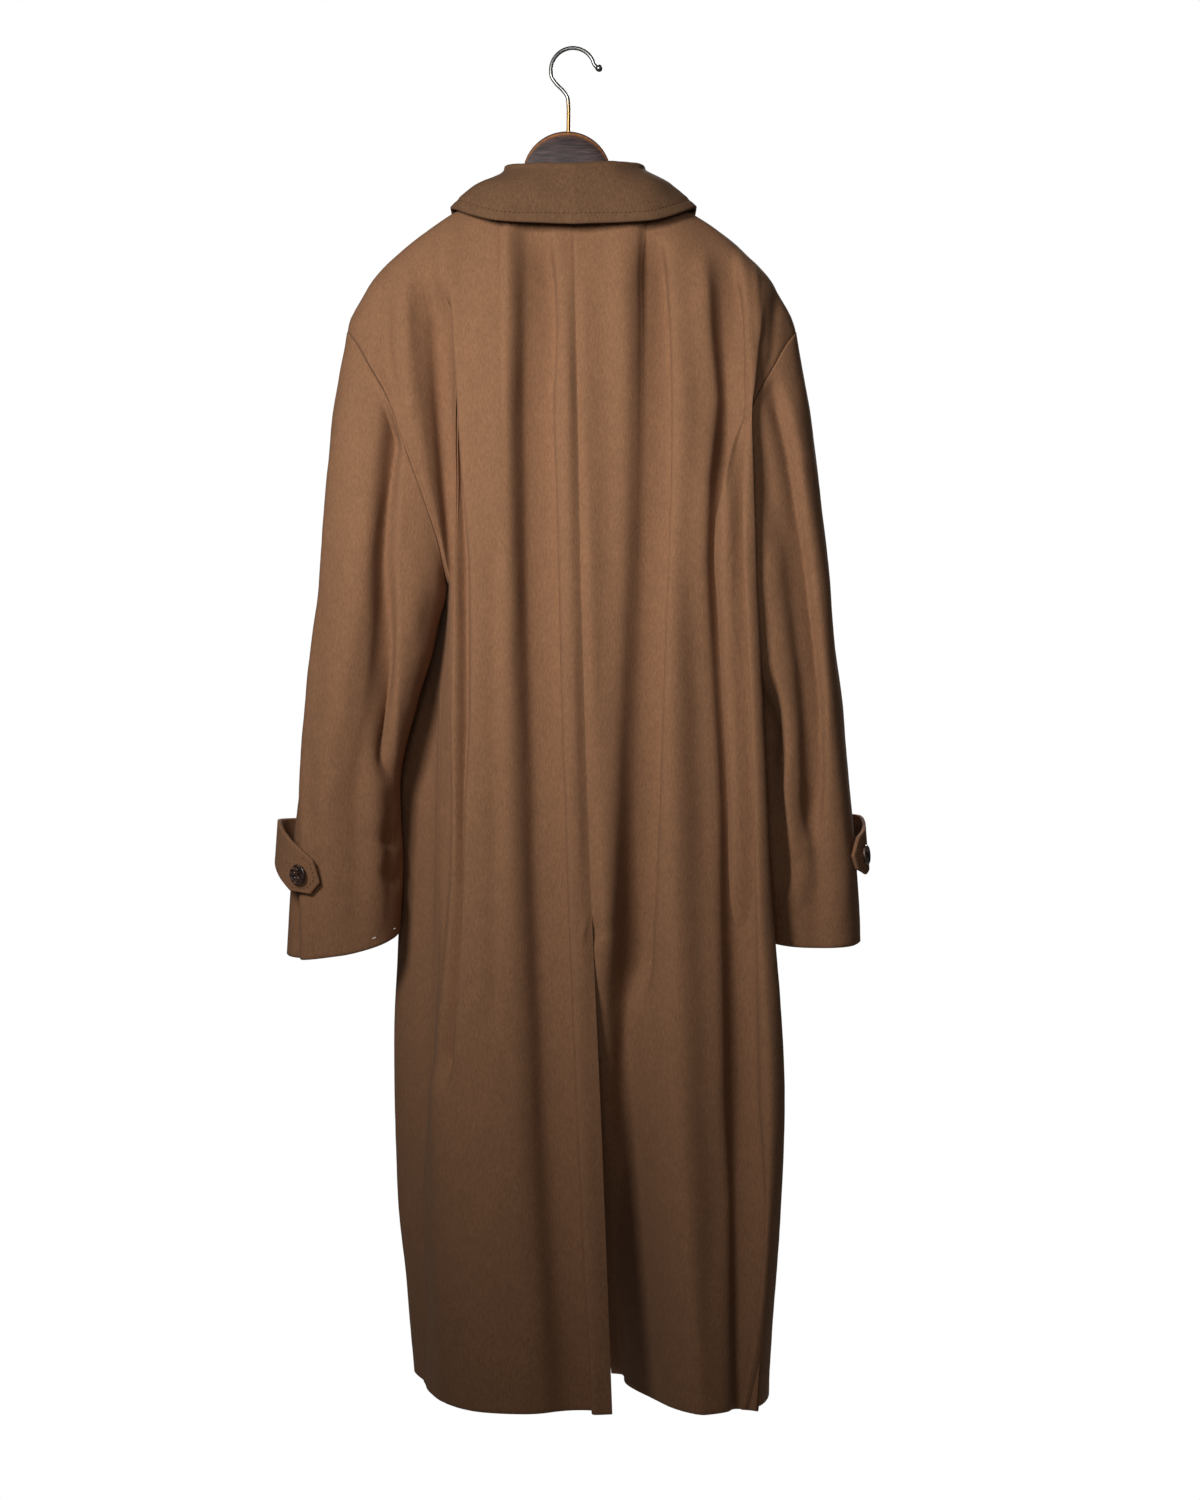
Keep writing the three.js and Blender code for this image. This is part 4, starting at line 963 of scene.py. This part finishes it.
WOOL = wool_material("wool_cloth", (0.175, 0.083, 0.041), (0.215, 0.105, 0.053), (0.26, 0.13, 0.068))
# The collar's wool is the coat's wool painted darker: painted shade that keeps the up-facing collar darker
# than the back under the lamps.
COLLAR_WOOL_PAINTED_SHADE = wool_material("collar_wool_painted_shade", (0.098, 0.048, 0.023), (0.13, 0.066, 0.033), (0.172, 0.088, 0.046))
# The stitching thread is brown made far darker than the cloth: partly the thread's own colour, partly painted
# shade that marks the stitch groove.
THREAD = wool_material("brown_thread_painted_shade", (0.022, 0.011, 0.006), (0.036, 0.018, 0.01), (0.06, 0.03, 0.017))
PALE_THREAD = wool_material("pale_thread", (0.75, 0.7, 0.62), (0.85, 0.81, 0.74), (0.95, 0.92, 0.86))
HORN = horn_material()
WOOD = wood_material()
METAL = metal_material()


def attach(piece, slot, *nodes):
    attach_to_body(piece, "root")
    if nodes:
        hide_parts(*nodes)


# The cloth, piece by piece

BODY_NOISE = [(52, 210, 2.4), (24, 60, 0.5), (9, 14, 0.16)]
SLEEVE_NOISE = [(40, 120, 2.2), (18, 40, 0.6), (8, 12, 0.16)]

# Valleys on the back: places across and heights
VALLEY_ONE = [
    (46, -176), (47, -204), (44, -285), (48, -354), (45, -434), (44, -513), (42, -592), (39, -671),
    (36, -749), (33, -846), (29, -944), (26, -1040), (21, -1136), (16, -1232), (12, -1308), (8, -1400),
]
VALLEY_TWO = [
    (-64, -176), (-65, -204), (-68, -285), (-69, -354), (-68, -434), (-66, -513), (-63, -592), (-60, -671),
    (-57, -749), (-52, -846), (-49, -905), (-47, -960),
]
VALLEY_THREE = [
    (-141, -190), (-142, -203), (-145, -284), (-152, -354), (-143, -434), (-141, -513), (-145, -592),
    (-149, -671), (-153, -749), (-153, -847), (-154, -944), (-155, -1041), (-161, -1137), (-160, -1233),
    (-159, -1400),
]
VALLEY_SIDE = [
    (144, -230), (143, -282), (138, -353), (133, -433), (125, -512), (124, -591), (124, -670), (129, -749),
    (132, -847), (138, -945), (145, -1042),
]


def beside(path, across):
    return [(x + across, z) for x, z in path]


# Each crease has a path, half widths on the wearer's left and right of it, and a rise
BACK_CREASES = [
    (beside(VALLEY_ONE, -18), 14, 6, -17),
    (beside(VALLEY_TWO, -17), 14, 6, -18),
    (beside(VALLEY_THREE, -14), 13, 7, -15),
    (beside(VALLEY_SIDE, -16), 12, 4, -18),
    (beside(VALLEY_ONE, 20), 13, 13, 4),
    (beside(VALLEY_TWO, 20), 12, 12, 6),
    (beside(VALLEY_THREE, 16), 10, 10, 8),
    ([(76, -470), (78, -592), (77, -671), (75, -749), (77, -846), (76, -1000)], 12, 5, -3),
    ([(-2, -190), (-2, -356), (-2, -514), (-3, -651), (-1, -860)], 16, 16, 2.5),
    ([(-6, -893), (-8, -880), (-13, -864), (-18, -846)], 2.6, 2.6, 1.6),
    ([(-14, -893), (-15, -880), (-20, -862), (-23, -848)], 4, 4, -1.4),
    ([(-180, -205), (-180, -217), (-181, -245), (-183, -300)], 4, 4, 1.2),
    ([(-204, -228), (-202, -241), (-199, -274), (-196, -317), (-187, -347), (-178, -370)], 5, 5, -2),
    ([(188, -225), (188, -245), (188, -299), (181, -370)], 12, 6, -5),
    ([(168, -225), (168, -254), (167, -314), (161, -400)], 8, 8, 3),
]

# Softer creases on the hidden fronts
FRONT_CREASES = [
    ([(112, -230), (98, -330), (90, -480), (88, -640), (94, -820)], 14, 8, -4),
    ([(62, -260), (58, -420), (62, -600), (60, -780), (56, -960)], 12, 12, 2.5),
    ([(142, -620), (132, -760), (126, -930), (120, -1150)], 16, 9, -5),
    ([(-104, -240), (-94, -350), (-92, -520), (-98, -700), (-104, -900)], 8, 14, -4),
    ([(-52, -300), (-58, -470), (-66, -650), (-64, -880)], 12, 12, 2.5),
    ([(-146, -560), (-148, -740), (-152, -950), (-144, -1180)], 9, 15, -5),
]

# Creases on the back of each sleeve
LEFT_SLEEVE_CREASES = [
    ([(169, -310), (172, -354), (179, -433), (183, -512), (182, -591), (184, -670), (184, -740)], 13, 4, -21),
    ([(212, -778), (200, -786), (188, -790), (170, -793), (150, -794)], 6, 16, -9),
    ([(204, -808), (192, -820), (180, -830), (160, -842), (148, -846)], 6, 13, -6),
    ([(210, -858), (192, -856), (172, -850), (150, -846)], 16, 16, 4),
]
RIGHT_SLEEVE_CREASES = [
    ([(-192, -318), (-197, -335), (-207, -370), (-215, -407), (-222, -467), (-229, -521), (-238, -597),
      (-242, -653), (-242, -728), (-236, -800)], 13, 5, -12),
    ([(-190, -615), (-194, -640), (-199, -668), (-201, -705), (-198, -745)], 16, 6, -28),
    ([(-197, -700), (-200, -740), (-205, -790), (-209, -850)], 7, 4, -12),
    ([(-200, -790), (-209, -799), (-218, -811), (-224, -840)], 7, 7, -4),
    ([(-206, -838), (-212, -844), (-222, -860), (-238, -884)], 9, 9, -4),
]


STITCH_LENGTH = 3.2
STITCH_STEP = 4.4
STITCH_RADIUS = 0.32
STITCH_SINK = 0.12
STITCH_AROUND = 6
STITCH_FORM = {
    "along": [0, 0.2, 0.5, 0.8, 1],
    "lift": [-0.5, 0.5, 0.9, 0.5, -0.5],
    "width": [0.35, 0.9, 1, 0.9, 0.35],
}
COLLAR_STITCH_INSET = 9.5
COLLAR_GROOVE = 0.8
COLLAR_GROOVE_WIDTH = 2
TACK_INSET = 9
TACK_SIZE = 1.7
TACK_STEP = 30


def line_above_edge(grid, normals, inset):
    """The line on a grid at a distance above its last row, and the normals along it."""
    up = grid[::-1]
    run = np.cumsum(length(np.diff(up, axis=0))[..., 0], axis=0)
    row = (run < inset).sum(axis=0)
    columns = np.arange(grid.shape[1])
    before = np.where(row > 0, run[np.maximum(row - 1, 0), columns], 0)
    part = ((inset - before) / (run[row, columns] - before))[:, None]
    line = lerp(up[row, columns], up[row + 1, columns], part)
    return line, normals[::-1][row, columns]


def make_stitches(name, line, normals, material, size=1, step=STITCH_STEP):
    """A row of short stitches along a line on the cloth, each a small bar with rounded ends."""
    run = np.concatenate([[0], np.cumsum(length(np.diff(line, axis=0))[:, 0])])
    count = max(1, int(run[-1] / step))
    starts = (np.arange(count) + 0.5) * run[-1] / count - STITCH_LENGTH * size / 2
    shares = np.array(STITCH_FORM["along"])
    lifts = np.array(STITCH_FORM["lift"]) * STITCH_RADIUS * size
    widths = np.array(STITCH_FORM["width"]) * STITCH_RADIUS * size
    angle = 2 * math.pi * np.arange(STITCH_AROUND) / STITCH_AROUND
    vertices, faces = [], []
    for start in starts:
        far = start + shares * STITCH_LENGTH * size
        spots = np.stack([np.interp(far, run, line[:, k]) for k in range(3)], axis=1)
        out = unit(np.stack([np.interp(far, run, normals[:, k]) for k in range(3)], axis=1))
        across = unit(np.cross(out, unit(np.gradient(spots, axis=0))))
        centre = spots + out * (lifts - STITCH_SINK)[:, None]
        ring = across[:, None] * np.cos(angle)[None, :, None] + out[:, None] * np.sin(angle)[None, :, None]
        faces += ring_faces(len(shares), STITCH_AROUND, first=len(vertices))
        vertices.extend((centre[:, None] + ring * widths[:, None, None]).reshape(-1, 3))
    attach(new_object(name, vertices, faces, material), "wool")


def edge_distance(grid, column):
    """Distance along each row from one of a panel's edges."""
    steps = length(np.diff(grid, axis=1))[..., 0]
    run = np.concatenate([np.zeros((len(grid), 1)), np.cumsum(steps, axis=1)], axis=1)
    return run if column == 0 else run[:, -1:] - run


SEAM_DIP = 0.5
SEAM_DIP_WIDTH = 2
EDGE_FADE = 12
HEAD_FADE = 0.025
BACK_FACING = 0.3


def finish_cloth(piece, node):
    attach(piece, "wool", node)


def make_body():
    for k, (name, grid) in enumerate(body_grids().items()):
        normals = settle(grid_normals(grid))
        rise = cloth_noise(grid, k, BODY_NOISE)
        rise += crease_rise(grid, BACK_CREASES if name.startswith("back") else FRONT_CREASES)
        near = np.minimum(edge_distance(grid, 0), edge_distance(grid, -1))
        rise *= smooth(near / EDGE_FADE)
        rise -= SEAM_DIP * np.exp(-(near / SEAM_DIP_WIDTH) ** 2)
        shaped = grid + normals * rise[..., None]
        piece = wall(name + "_cloth", shaped, normals, WALL, WOOL)
        finish_cloth(piece, name)


def make_sleeve(hand, sleeve, folds, creases, seed, tacks=()):
    grid = sleeve_grid(sleeve, folds)
    normals = grid_normals(grid, closed=True)
    rise = cloth_noise(grid, seed, SLEEVE_NOISE)
    rise += crease_rise(grid, creases) * smooth(normals[..., 1] / BACK_FACING)
    down = np.arange(len(grid))[:, None] / SLEEVE_ROWS
    rise *= smooth(down / HEAD_FADE)
    shaped = grid + normals * rise[..., None]
    piece = wall(f"sleeve_{hand}_cloth", shaped, normals, WALL, WOOL, closed=True)
    finish_cloth(piece, f"sleeve_{hand}")
    line, out = line_above_edge(shaped, normals, TACK_INSET)
    for k, x in enumerate(tacks):
        near = np.argmin(np.abs(line[:, 0] - x) + np.where(out[:, 1] > 0, 0, 1000))
        spots = slice(near - 4, near + 5)
        name = f"sleeve_{hand}_tack_{k + 1}"
        make_stitches(name, line[spots], out[spots], PALE_THREAD, TACK_SIZE, TACK_STEP)


def make_collar():
    grid = collar_grid()
    normals = grid_normals(grid)
    rise = cloth_noise(grid, 7, [(34, 34, 2.2), (8, 8, 0.2)])
    run = np.cumsum(length(np.diff(grid[::-1], axis=0))[..., 0], axis=0)[::-1]
    above = np.concatenate([run, np.zeros_like(run[:1])])
    rise -= COLLAR_GROOVE * np.exp(-((above - COLLAR_STITCH_INSET) / COLLAR_GROOVE_WIDTH) ** 2)
    shaped = grid + normals * rise[..., None]
    # The collar takes the darker wool, whose colour carries painted shade.
    piece = wall("collar_cloth", shaped, normals, COLLAR_WALL, COLLAR_WOOL_PAINTED_SHADE)
    finish_cloth(piece, "collar")
    line, out = line_above_edge(shaped, normals, COLLAR_STITCH_INSET)
    # The dark stitches along the collar carry painted shade for the stitch groove.
    make_stitches("collar_stitches", line, out, THREAD)


TAB_ROWS = 24
TAB_ALONG = 72
# Stitch lines of a tab: shares of its length, and shares of its half width
TAB_SIDE_PLACES = [0.03, 0.2, 0.4, 0.6, 0.8, 0.87, 0.955]
TAB_SIDE_WIDTHS = [0.79, 0.79, 0.79, 0.79, 0.79, 0.76, 0.33]
TAB_STITCHES = {
    "upper_stitches": (TAB_SIDE_PLACES, TAB_SIDE_WIDTHS),
    "lower_stitches": (TAB_SIDE_PLACES, [-width for width in TAB_SIDE_WIDTHS]),
    "end_stitches": ([0.955, 0.955, 0.955], [0.33, 0, -0.33]),
    "hole_upper": ([0.68, 0.72, 0.76], [0.07, 0.07, 0.07]),
    "hole_lower": ([0.68, 0.72, 0.76], [-0.07, -0.07, -0.07]),
}


def tab_centre(tab, sleeve):
    surface = sleeve_surface(sleeve, [])
    path = curves({"knots": TAB_KNOTS, **tab}, "knots", ["turn", "z", "off"])

    def at(share):
        turn, z = path["turn"](share), path["z"](share)
        normal = sleeve_normal(sleeve, surface, turn, z)
        return surface(turn, z) + normal * (path["off"](share) + TAB_WALL)[..., None], normal

    return at


def make_tab(hand, tab, sleeve):
    centre = tab_centre(tab, sleeve)
    share = np.arange(TAB_ALONG + 1) / TAB_ALONG
    point, normal = centre(share)
    ahead = centre(np.minimum(1, share + 0.03))[0] - centre(np.maximum(0, share - 0.03))[0]
    across = unit(np.cross(ahead, normal)) * sleeve["side"]
    past = np.clip((share - TAB_POINT_FROM) / (1 - TAB_POINT_FROM), 0, 1)
    clip = lerp(1, TAB_POINT_WIDTH, past)
    width = np.linspace(-1, 1, TAB_ROWS + 1)[:, None, None] * TAB_HALF
    grid = point[None] + across[None] * width * clip[None, :, None]
    normals = np.broadcast_to(normal[None], grid.shape)
    if sleeve["side"] > 0:
        grid, normals = grid[:, ::-1], normals[:, ::-1]
    piece = wall(f"sleeve_tab_{hand}_cloth", grid, normals, TAB_WALL, WOOL, rim=0.2)
    finish_cloth(piece, f"sleeve_tab_{hand}")
    for part, (places, widths) in TAB_STITCHES.items():
        spots, out = centre(np.array(places))
        ahead = centre(np.minimum(1, np.array(places) + 0.01))[0] - centre(np.array(places) - 0.01)[0]
        cross = unit(np.cross(ahead, out)) * sleeve["side"]
        line = spots + cross * (np.array(widths) * TAB_HALF)[:, None]
        make_stitches(f"sleeve_tab_{hand}_{part}", line, out, THREAD)


# Buttons

BUTTON_AROUND = 48
BUTTON_PROFILE = [
    (0.18, 0.0), (0.18, 1.0), (0.8, 1.0), (0.93, 1.3), (1.0, 2.1), (1.0, 2.9), (0.96, 3.8),
    (0.9, 4.2), (0.83, 4.15), (0.76, 3.7), (0.7, 3.45), (0.5, 3.4), (0.42, 3.4), (0.36, 3.4),
    (0.3, 3.4), (0.24, 3.4), (0.18, 3.4), (0.12, 3.4), (0.05, 3.4),
]
HOLE_OFF = 0.24
HOLE_RADIUS = 0.11
HOLE_DEEP = 1.6


def button_frame(normal):
    """Two directions across a button whose face looks along normal."""
    side = unit(np.cross([0.0, 0.0, 1.0], normal))
    return side, np.cross(normal, side)


def make_button(name, radius, point, normal):
    side, up = button_frame(normal)
    base = point + normal * BUTTON_LIFT
    vertices = []
    for reach, high in BUTTON_PROFILE:
        for a in range(BUTTON_AROUND):
            angle = 2 * math.pi * a / BUTTON_AROUND
            x, y = reach * math.cos(angle), reach * math.sin(angle)
            hole = min(math.hypot(x - sx * HOLE_OFF, y - sy * HOLE_OFF) for sx in (-1, 1) for sy in (-1, 1))
            sunk = HOLE_DEEP * float(smooth((HOLE_RADIUS * 1.3 - hole) / (HOLE_RADIUS * 0.6)))
            deep = sunk if high > 3 and reach < 0.6 else 0
            vertices.append(base + (side * x + up * y) * radius + normal * (high - deep))
    piece = new_object(name + "_horn", vertices, ring_faces(len(BUTTON_PROFILE), BUTTON_AROUND), HORN)
    attach(piece, "horn", name)
    for k, way in enumerate((1, -1)):
        ends = [(-HOLE_OFF, -HOLE_OFF * way), (HOLE_OFF, HOLE_OFF * way)]
        path = []
        for t in np.linspace(0, 1, 7):
            x, y = lerp(ends[0][0], ends[1][0], t), lerp(ends[0][1], ends[1][1], t)
            high = 2.6 + 1.5 * math.sin(math.pi * t) ** 0.5
            path.append(base + (side * x + up * y) * radius + normal * high)
        thread = tube(f"{name}_thread_{k + 1}", np.array(path), 0.55, 8, THREAD)
        attach(thread, "wool")


def tube(name, path, radius, around, material):
    """A round tube along a path, closed at its ends; radius may differ from point to point."""
    path = np.asarray(path, float)
    radius = np.broadcast_to(np.asarray(radius, float), len(path))
    ways = unit(np.gradient(path, axis=0))
    helper = np.array([0.0, 1.0, 0.0]) if abs(ways[:, 1]).max() < 0.9 else np.array([0.0, 0.0, 1.0])
    side = unit(np.cross(ways, helper))
    up = np.cross(side, ways)
    angle = 2 * math.pi * np.arange(around) / around
    ring = side[:, None] * np.cos(angle)[None, :, None] + up[:, None] * np.sin(angle)[None, :, None]
    vertices = (path[:, None] + ring * radius[:, None, None]).reshape(-1, 3)
    return new_object(name, vertices, ring_faces(len(path), around, turned=True), material)


# Hanger and hook

def hanger_clearance(out):
    slope = (shoulder_z(out - 2) - shoulder_z(out + 2)) / 4
    room = WALL + ARM_ROOM + ARM_END_ROOM * (out / HANGER_HALF) ** 2
    return room * math.sqrt(1 + slope * slope)


def hanger_top(x):
    out = abs(x) / (RIGHT_SHARE if x < 0 else 1)
    inner = shoulder_z(NECK_HALF) - HANGER_NECK_RISE * (NECK_HALF - out)
    arm = (shoulder_z(out) if out > NECK_HALF else inner) - hanger_clearance(out)
    away = x - HUMP_X
    if abs(away) >= HUMP_RADIUS:
        return arm
    return max(arm, HUMP_TOP_Z - HUMP_RADIUS + math.sqrt(HUMP_RADIUS ** 2 - away ** 2))


def hanger_y(x):
    return shoulder_y(abs(x)) + 1 + HUMP_BACK * (1 - smooth((abs(x) - NECK_HALF) / 30))


HANGER_STATIONS = 260
HANGER_AROUND = 40
HANGER_FLAT = 0.55
WEAR_IN = 3.2
WEAR_WIDTH = 1.3


def make_hanger():
    """The wooden body: rounded sections from end to end, with flat faces and a softened top edge."""
    vertices, wear = [], []
    for k in range(HANGER_STATIONS + 1):
        swing = math.cos(math.pi * k / HANGER_STATIONS)
        side = math.copysign(abs(swing) ** 0.9, swing)
        x = HANGER_HALF * side * (RIGHT_SHARE if side < 0 else 1)
        share = abs(side)
        top = hanger_top(x)
        bottom = lerp(HANGER_MIDDLE_LOW, HANGER_END_LOW, share ** 1.4)
        past = max(0, (share - HANGER_TAPER_FROM) / (1 - HANGER_TAPER_FROM))
        end = math.sqrt(max(0, 1 - past ** 2))
        thick = HANGER_THICK / 2 * lerp(HANGER_END_THICK, 1, end)
        high = (top - bottom) / 2 * lerp(HANGER_END_HIGH, 1, end)
        for a in range(HANGER_AROUND):
            angle = 2 * math.pi * a / HANGER_AROUND
            cosine, sine = math.cos(angle), math.sin(angle)
            y = thick * math.copysign(abs(cosine) ** HANGER_FLAT, cosine)
            z = high * math.copysign(abs(sine) ** HANGER_FLAT, sine)
            vertices.append((x, float(hanger_y(x)) + y, top - high + z))
            wear.append(float(np.exp(-((high - z - WEAR_IN) / WEAR_WIDTH) ** 2)) * (1.0 if z > 0 else 0.0))
    faces = ring_faces(HANGER_STATIONS + 1, HANGER_AROUND, turned=True)
    piece = new_object("hanger_wood", vertices, faces, WOOD)
    attribute = piece.data.attributes.new("wear", "FLOAT", "POINT")
    attribute.data.foreach_set("value", wear)
    attach(piece, "wood", "hanger_body")


def make_hook():
    centre = (HOOK_X, WIRE_RADIUS - HOOK_RADIUS)
    path = list(HOOK_TIP)
    for k in range(1, 13):
        angle = math.pi * (1 - k / 12)
        path.append([centre[0] + HOOK_RADIUS * math.cos(angle), centre[1] + HOOK_RADIUS * math.sin(angle)])
    path += HOOK_LOWER
    knots = np.array([(x, 0, z) for x, z in path], float)
    line = spline(knots, np.linspace(0, len(knots) - 1, 400))
    run = np.concatenate([[0], np.cumsum(length(np.diff(line, axis=0))[:, 0])])
    in_ball = np.linspace(0, 2 * BALL_RADIUS, 24)
    past_ball = np.linspace(2 * BALL_RADIUS, run[-1], 160)[1:]
    far = np.concatenate([in_ball, past_ball])
    line = np.stack([np.interp(far, run, line[:, j]) for j in range(3)], axis=1)
    ball = np.sqrt(np.maximum(0.0, BALL_RADIUS ** 2 - (far - BALL_RADIUS) ** 2))
    radius = np.maximum(ball, np.where(far < BALL_RADIUS, 0.3, WIRE_RADIUS))
    piece = tube("hook_wire", line, radius, 24, METAL)
    attach(piece, "steel", "hanger_hook")


# Stage: floor, lights and camera

FLOOR_HALF = 1000
FLOOR_Z = -1760
WORLD_LIGHT = 0.06
CAMERA_PLACE = (-0.025, 3.0, -0.7)
CAMERA_LENS = 72
CAMERA_SENSOR = 36


def add_light(name, place, target, size, power, spread):
    light = bpy.data.lights.new(name, "AREA")
    light.size = size
    light.energy = power
    light.spread = math.radians(spread)
    lamp = bpy.data.objects.new(name, light)
    lamp.location = place
    lamp.rotation_euler = (Vector(target) - Vector(place)).to_track_quat("-Z", "Y").to_euler()
    bpy.context.scene.collection.objects.link(lamp)


def make_stage():
    material, shader = new_material("pale_floor", 0.8)
    tone = noise_at(material, object_place(material, (1, 1, 1)), 3, 2, 0.5)
    colour = ramp(material, tone, [(0.2, (0.78, 0.78, 0.78)), (0.8, (0.84, 0.84, 0.84))])
    join(material, colour, shader.inputs["Base Color"])
    corners = [(x * FLOOR_HALF, y * FLOOR_HALF, FLOOR_Z) for x, y in ((-1, -1), (1, -1), (1, 1), (-1, 1))]
    new_object("floor", corners, [(0, 1, 2, 3)], material, flat=True)

    world = bpy.data.worlds.new("studio")
    world.use_nodes = True
    nodes, links = world.node_tree.nodes, world.node_tree.links
    background = nodes["Background"]
    background.inputs["Color"].default_value = (1, 1, 1, 1)
    path = nodes.new("ShaderNodeLightPath")
    strength = nodes.new("ShaderNodeMapRange")
    strength.inputs["To Min"].default_value = WORLD_LIGHT
    links.new(path.outputs["Is Camera Ray"], strength.inputs["Value"])
    links.new(strength.outputs["Result"], background.inputs["Strength"])
    bpy.context.scene.world = world

    add_light("key", (0.68, 1.25, -0.02), (-0.04, 0.05, -0.42), size=0.4, power=4.4, spread=74)
    add_light("fill", (0.1, 3.2, -0.2), (0, 0, -0.3), size=0.6, power=1.0, spread=40)
    add_light("front_key", (-0.6, -2.2, 0.6), (0, 0, -0.6), size=1.0, power=20, spread=120)


def make_camera():
    data = bpy.data.cameras.new("camera")
    data.lens = CAMERA_LENS
    data.sensor_width = CAMERA_SENSOR
    camera = bpy.data.objects.new("camera", data)
    camera.location = CAMERA_PLACE
    camera.rotation_euler = (math.pi / 2, 0, math.pi)
    bpy.context.scene.collection.objects.link(camera)
    bpy.context.scene.camera = camera
    bpy.context.scene.view_settings.view_transform = "Standard"


make_camera()
make_stage()
make_hanger()
make_hook()
make_body()
make_sleeve("left", LEFT_SLEEVE, LEFT_SLEEVE_FOLDS, LEFT_SLEEVE_CREASES, 11, tacks=(199, 180))
make_sleeve("right", RIGHT_SLEEVE, RIGHT_SLEEVE_FOLDS, RIGHT_SLEEVE_CREASES, 12)
make_collar()

for hand, tab, sleeve, folds in (
    ("left", LEFT_TAB, LEFT_SLEEVE, LEFT_SLEEVE_FOLDS),
    ("right", RIGHT_TAB, RIGHT_SLEEVE, RIGHT_SLEEVE_FOLDS),
):
    make_tab(hand, tab, sleeve)
    seat, seat_normal = tab_centre(tab, sleeve)(np.array([TAB_BUTTON_AT]))
    make_button(f"cuff_button_{hand}", CUFF_BUTTON, seat[0], seat_normal[0])
    spare = tab["spare"]
    turn, z = np.array([spare["turn"]]), np.array([spare["z"]], float)
    surface = sleeve_surface(sleeve, folds, gap=SPARE_BUTTON_GAP)
    normal = sleeve_normal(sleeve, surface, turn, z)
    spot = surface(turn, z) + normal * spare["off"]
    make_button(f"cuff_spare_button_{hand}", CUFF_BUTTON, spot[0], normal[0])

front_centre = fold_line(LEFT_FRONT_FOLDS["centre"], -1)
for k, share in enumerate(FRONT_BUTTON_AT):
    before, here, after = front_centre(np.array([share - 0.01, share, share + 0.01]))
    down = after - before
    make_button(f"front_button_{k + 1}", FRONT_BUTTON, here, unit(points(0, down[2], -down[1])))
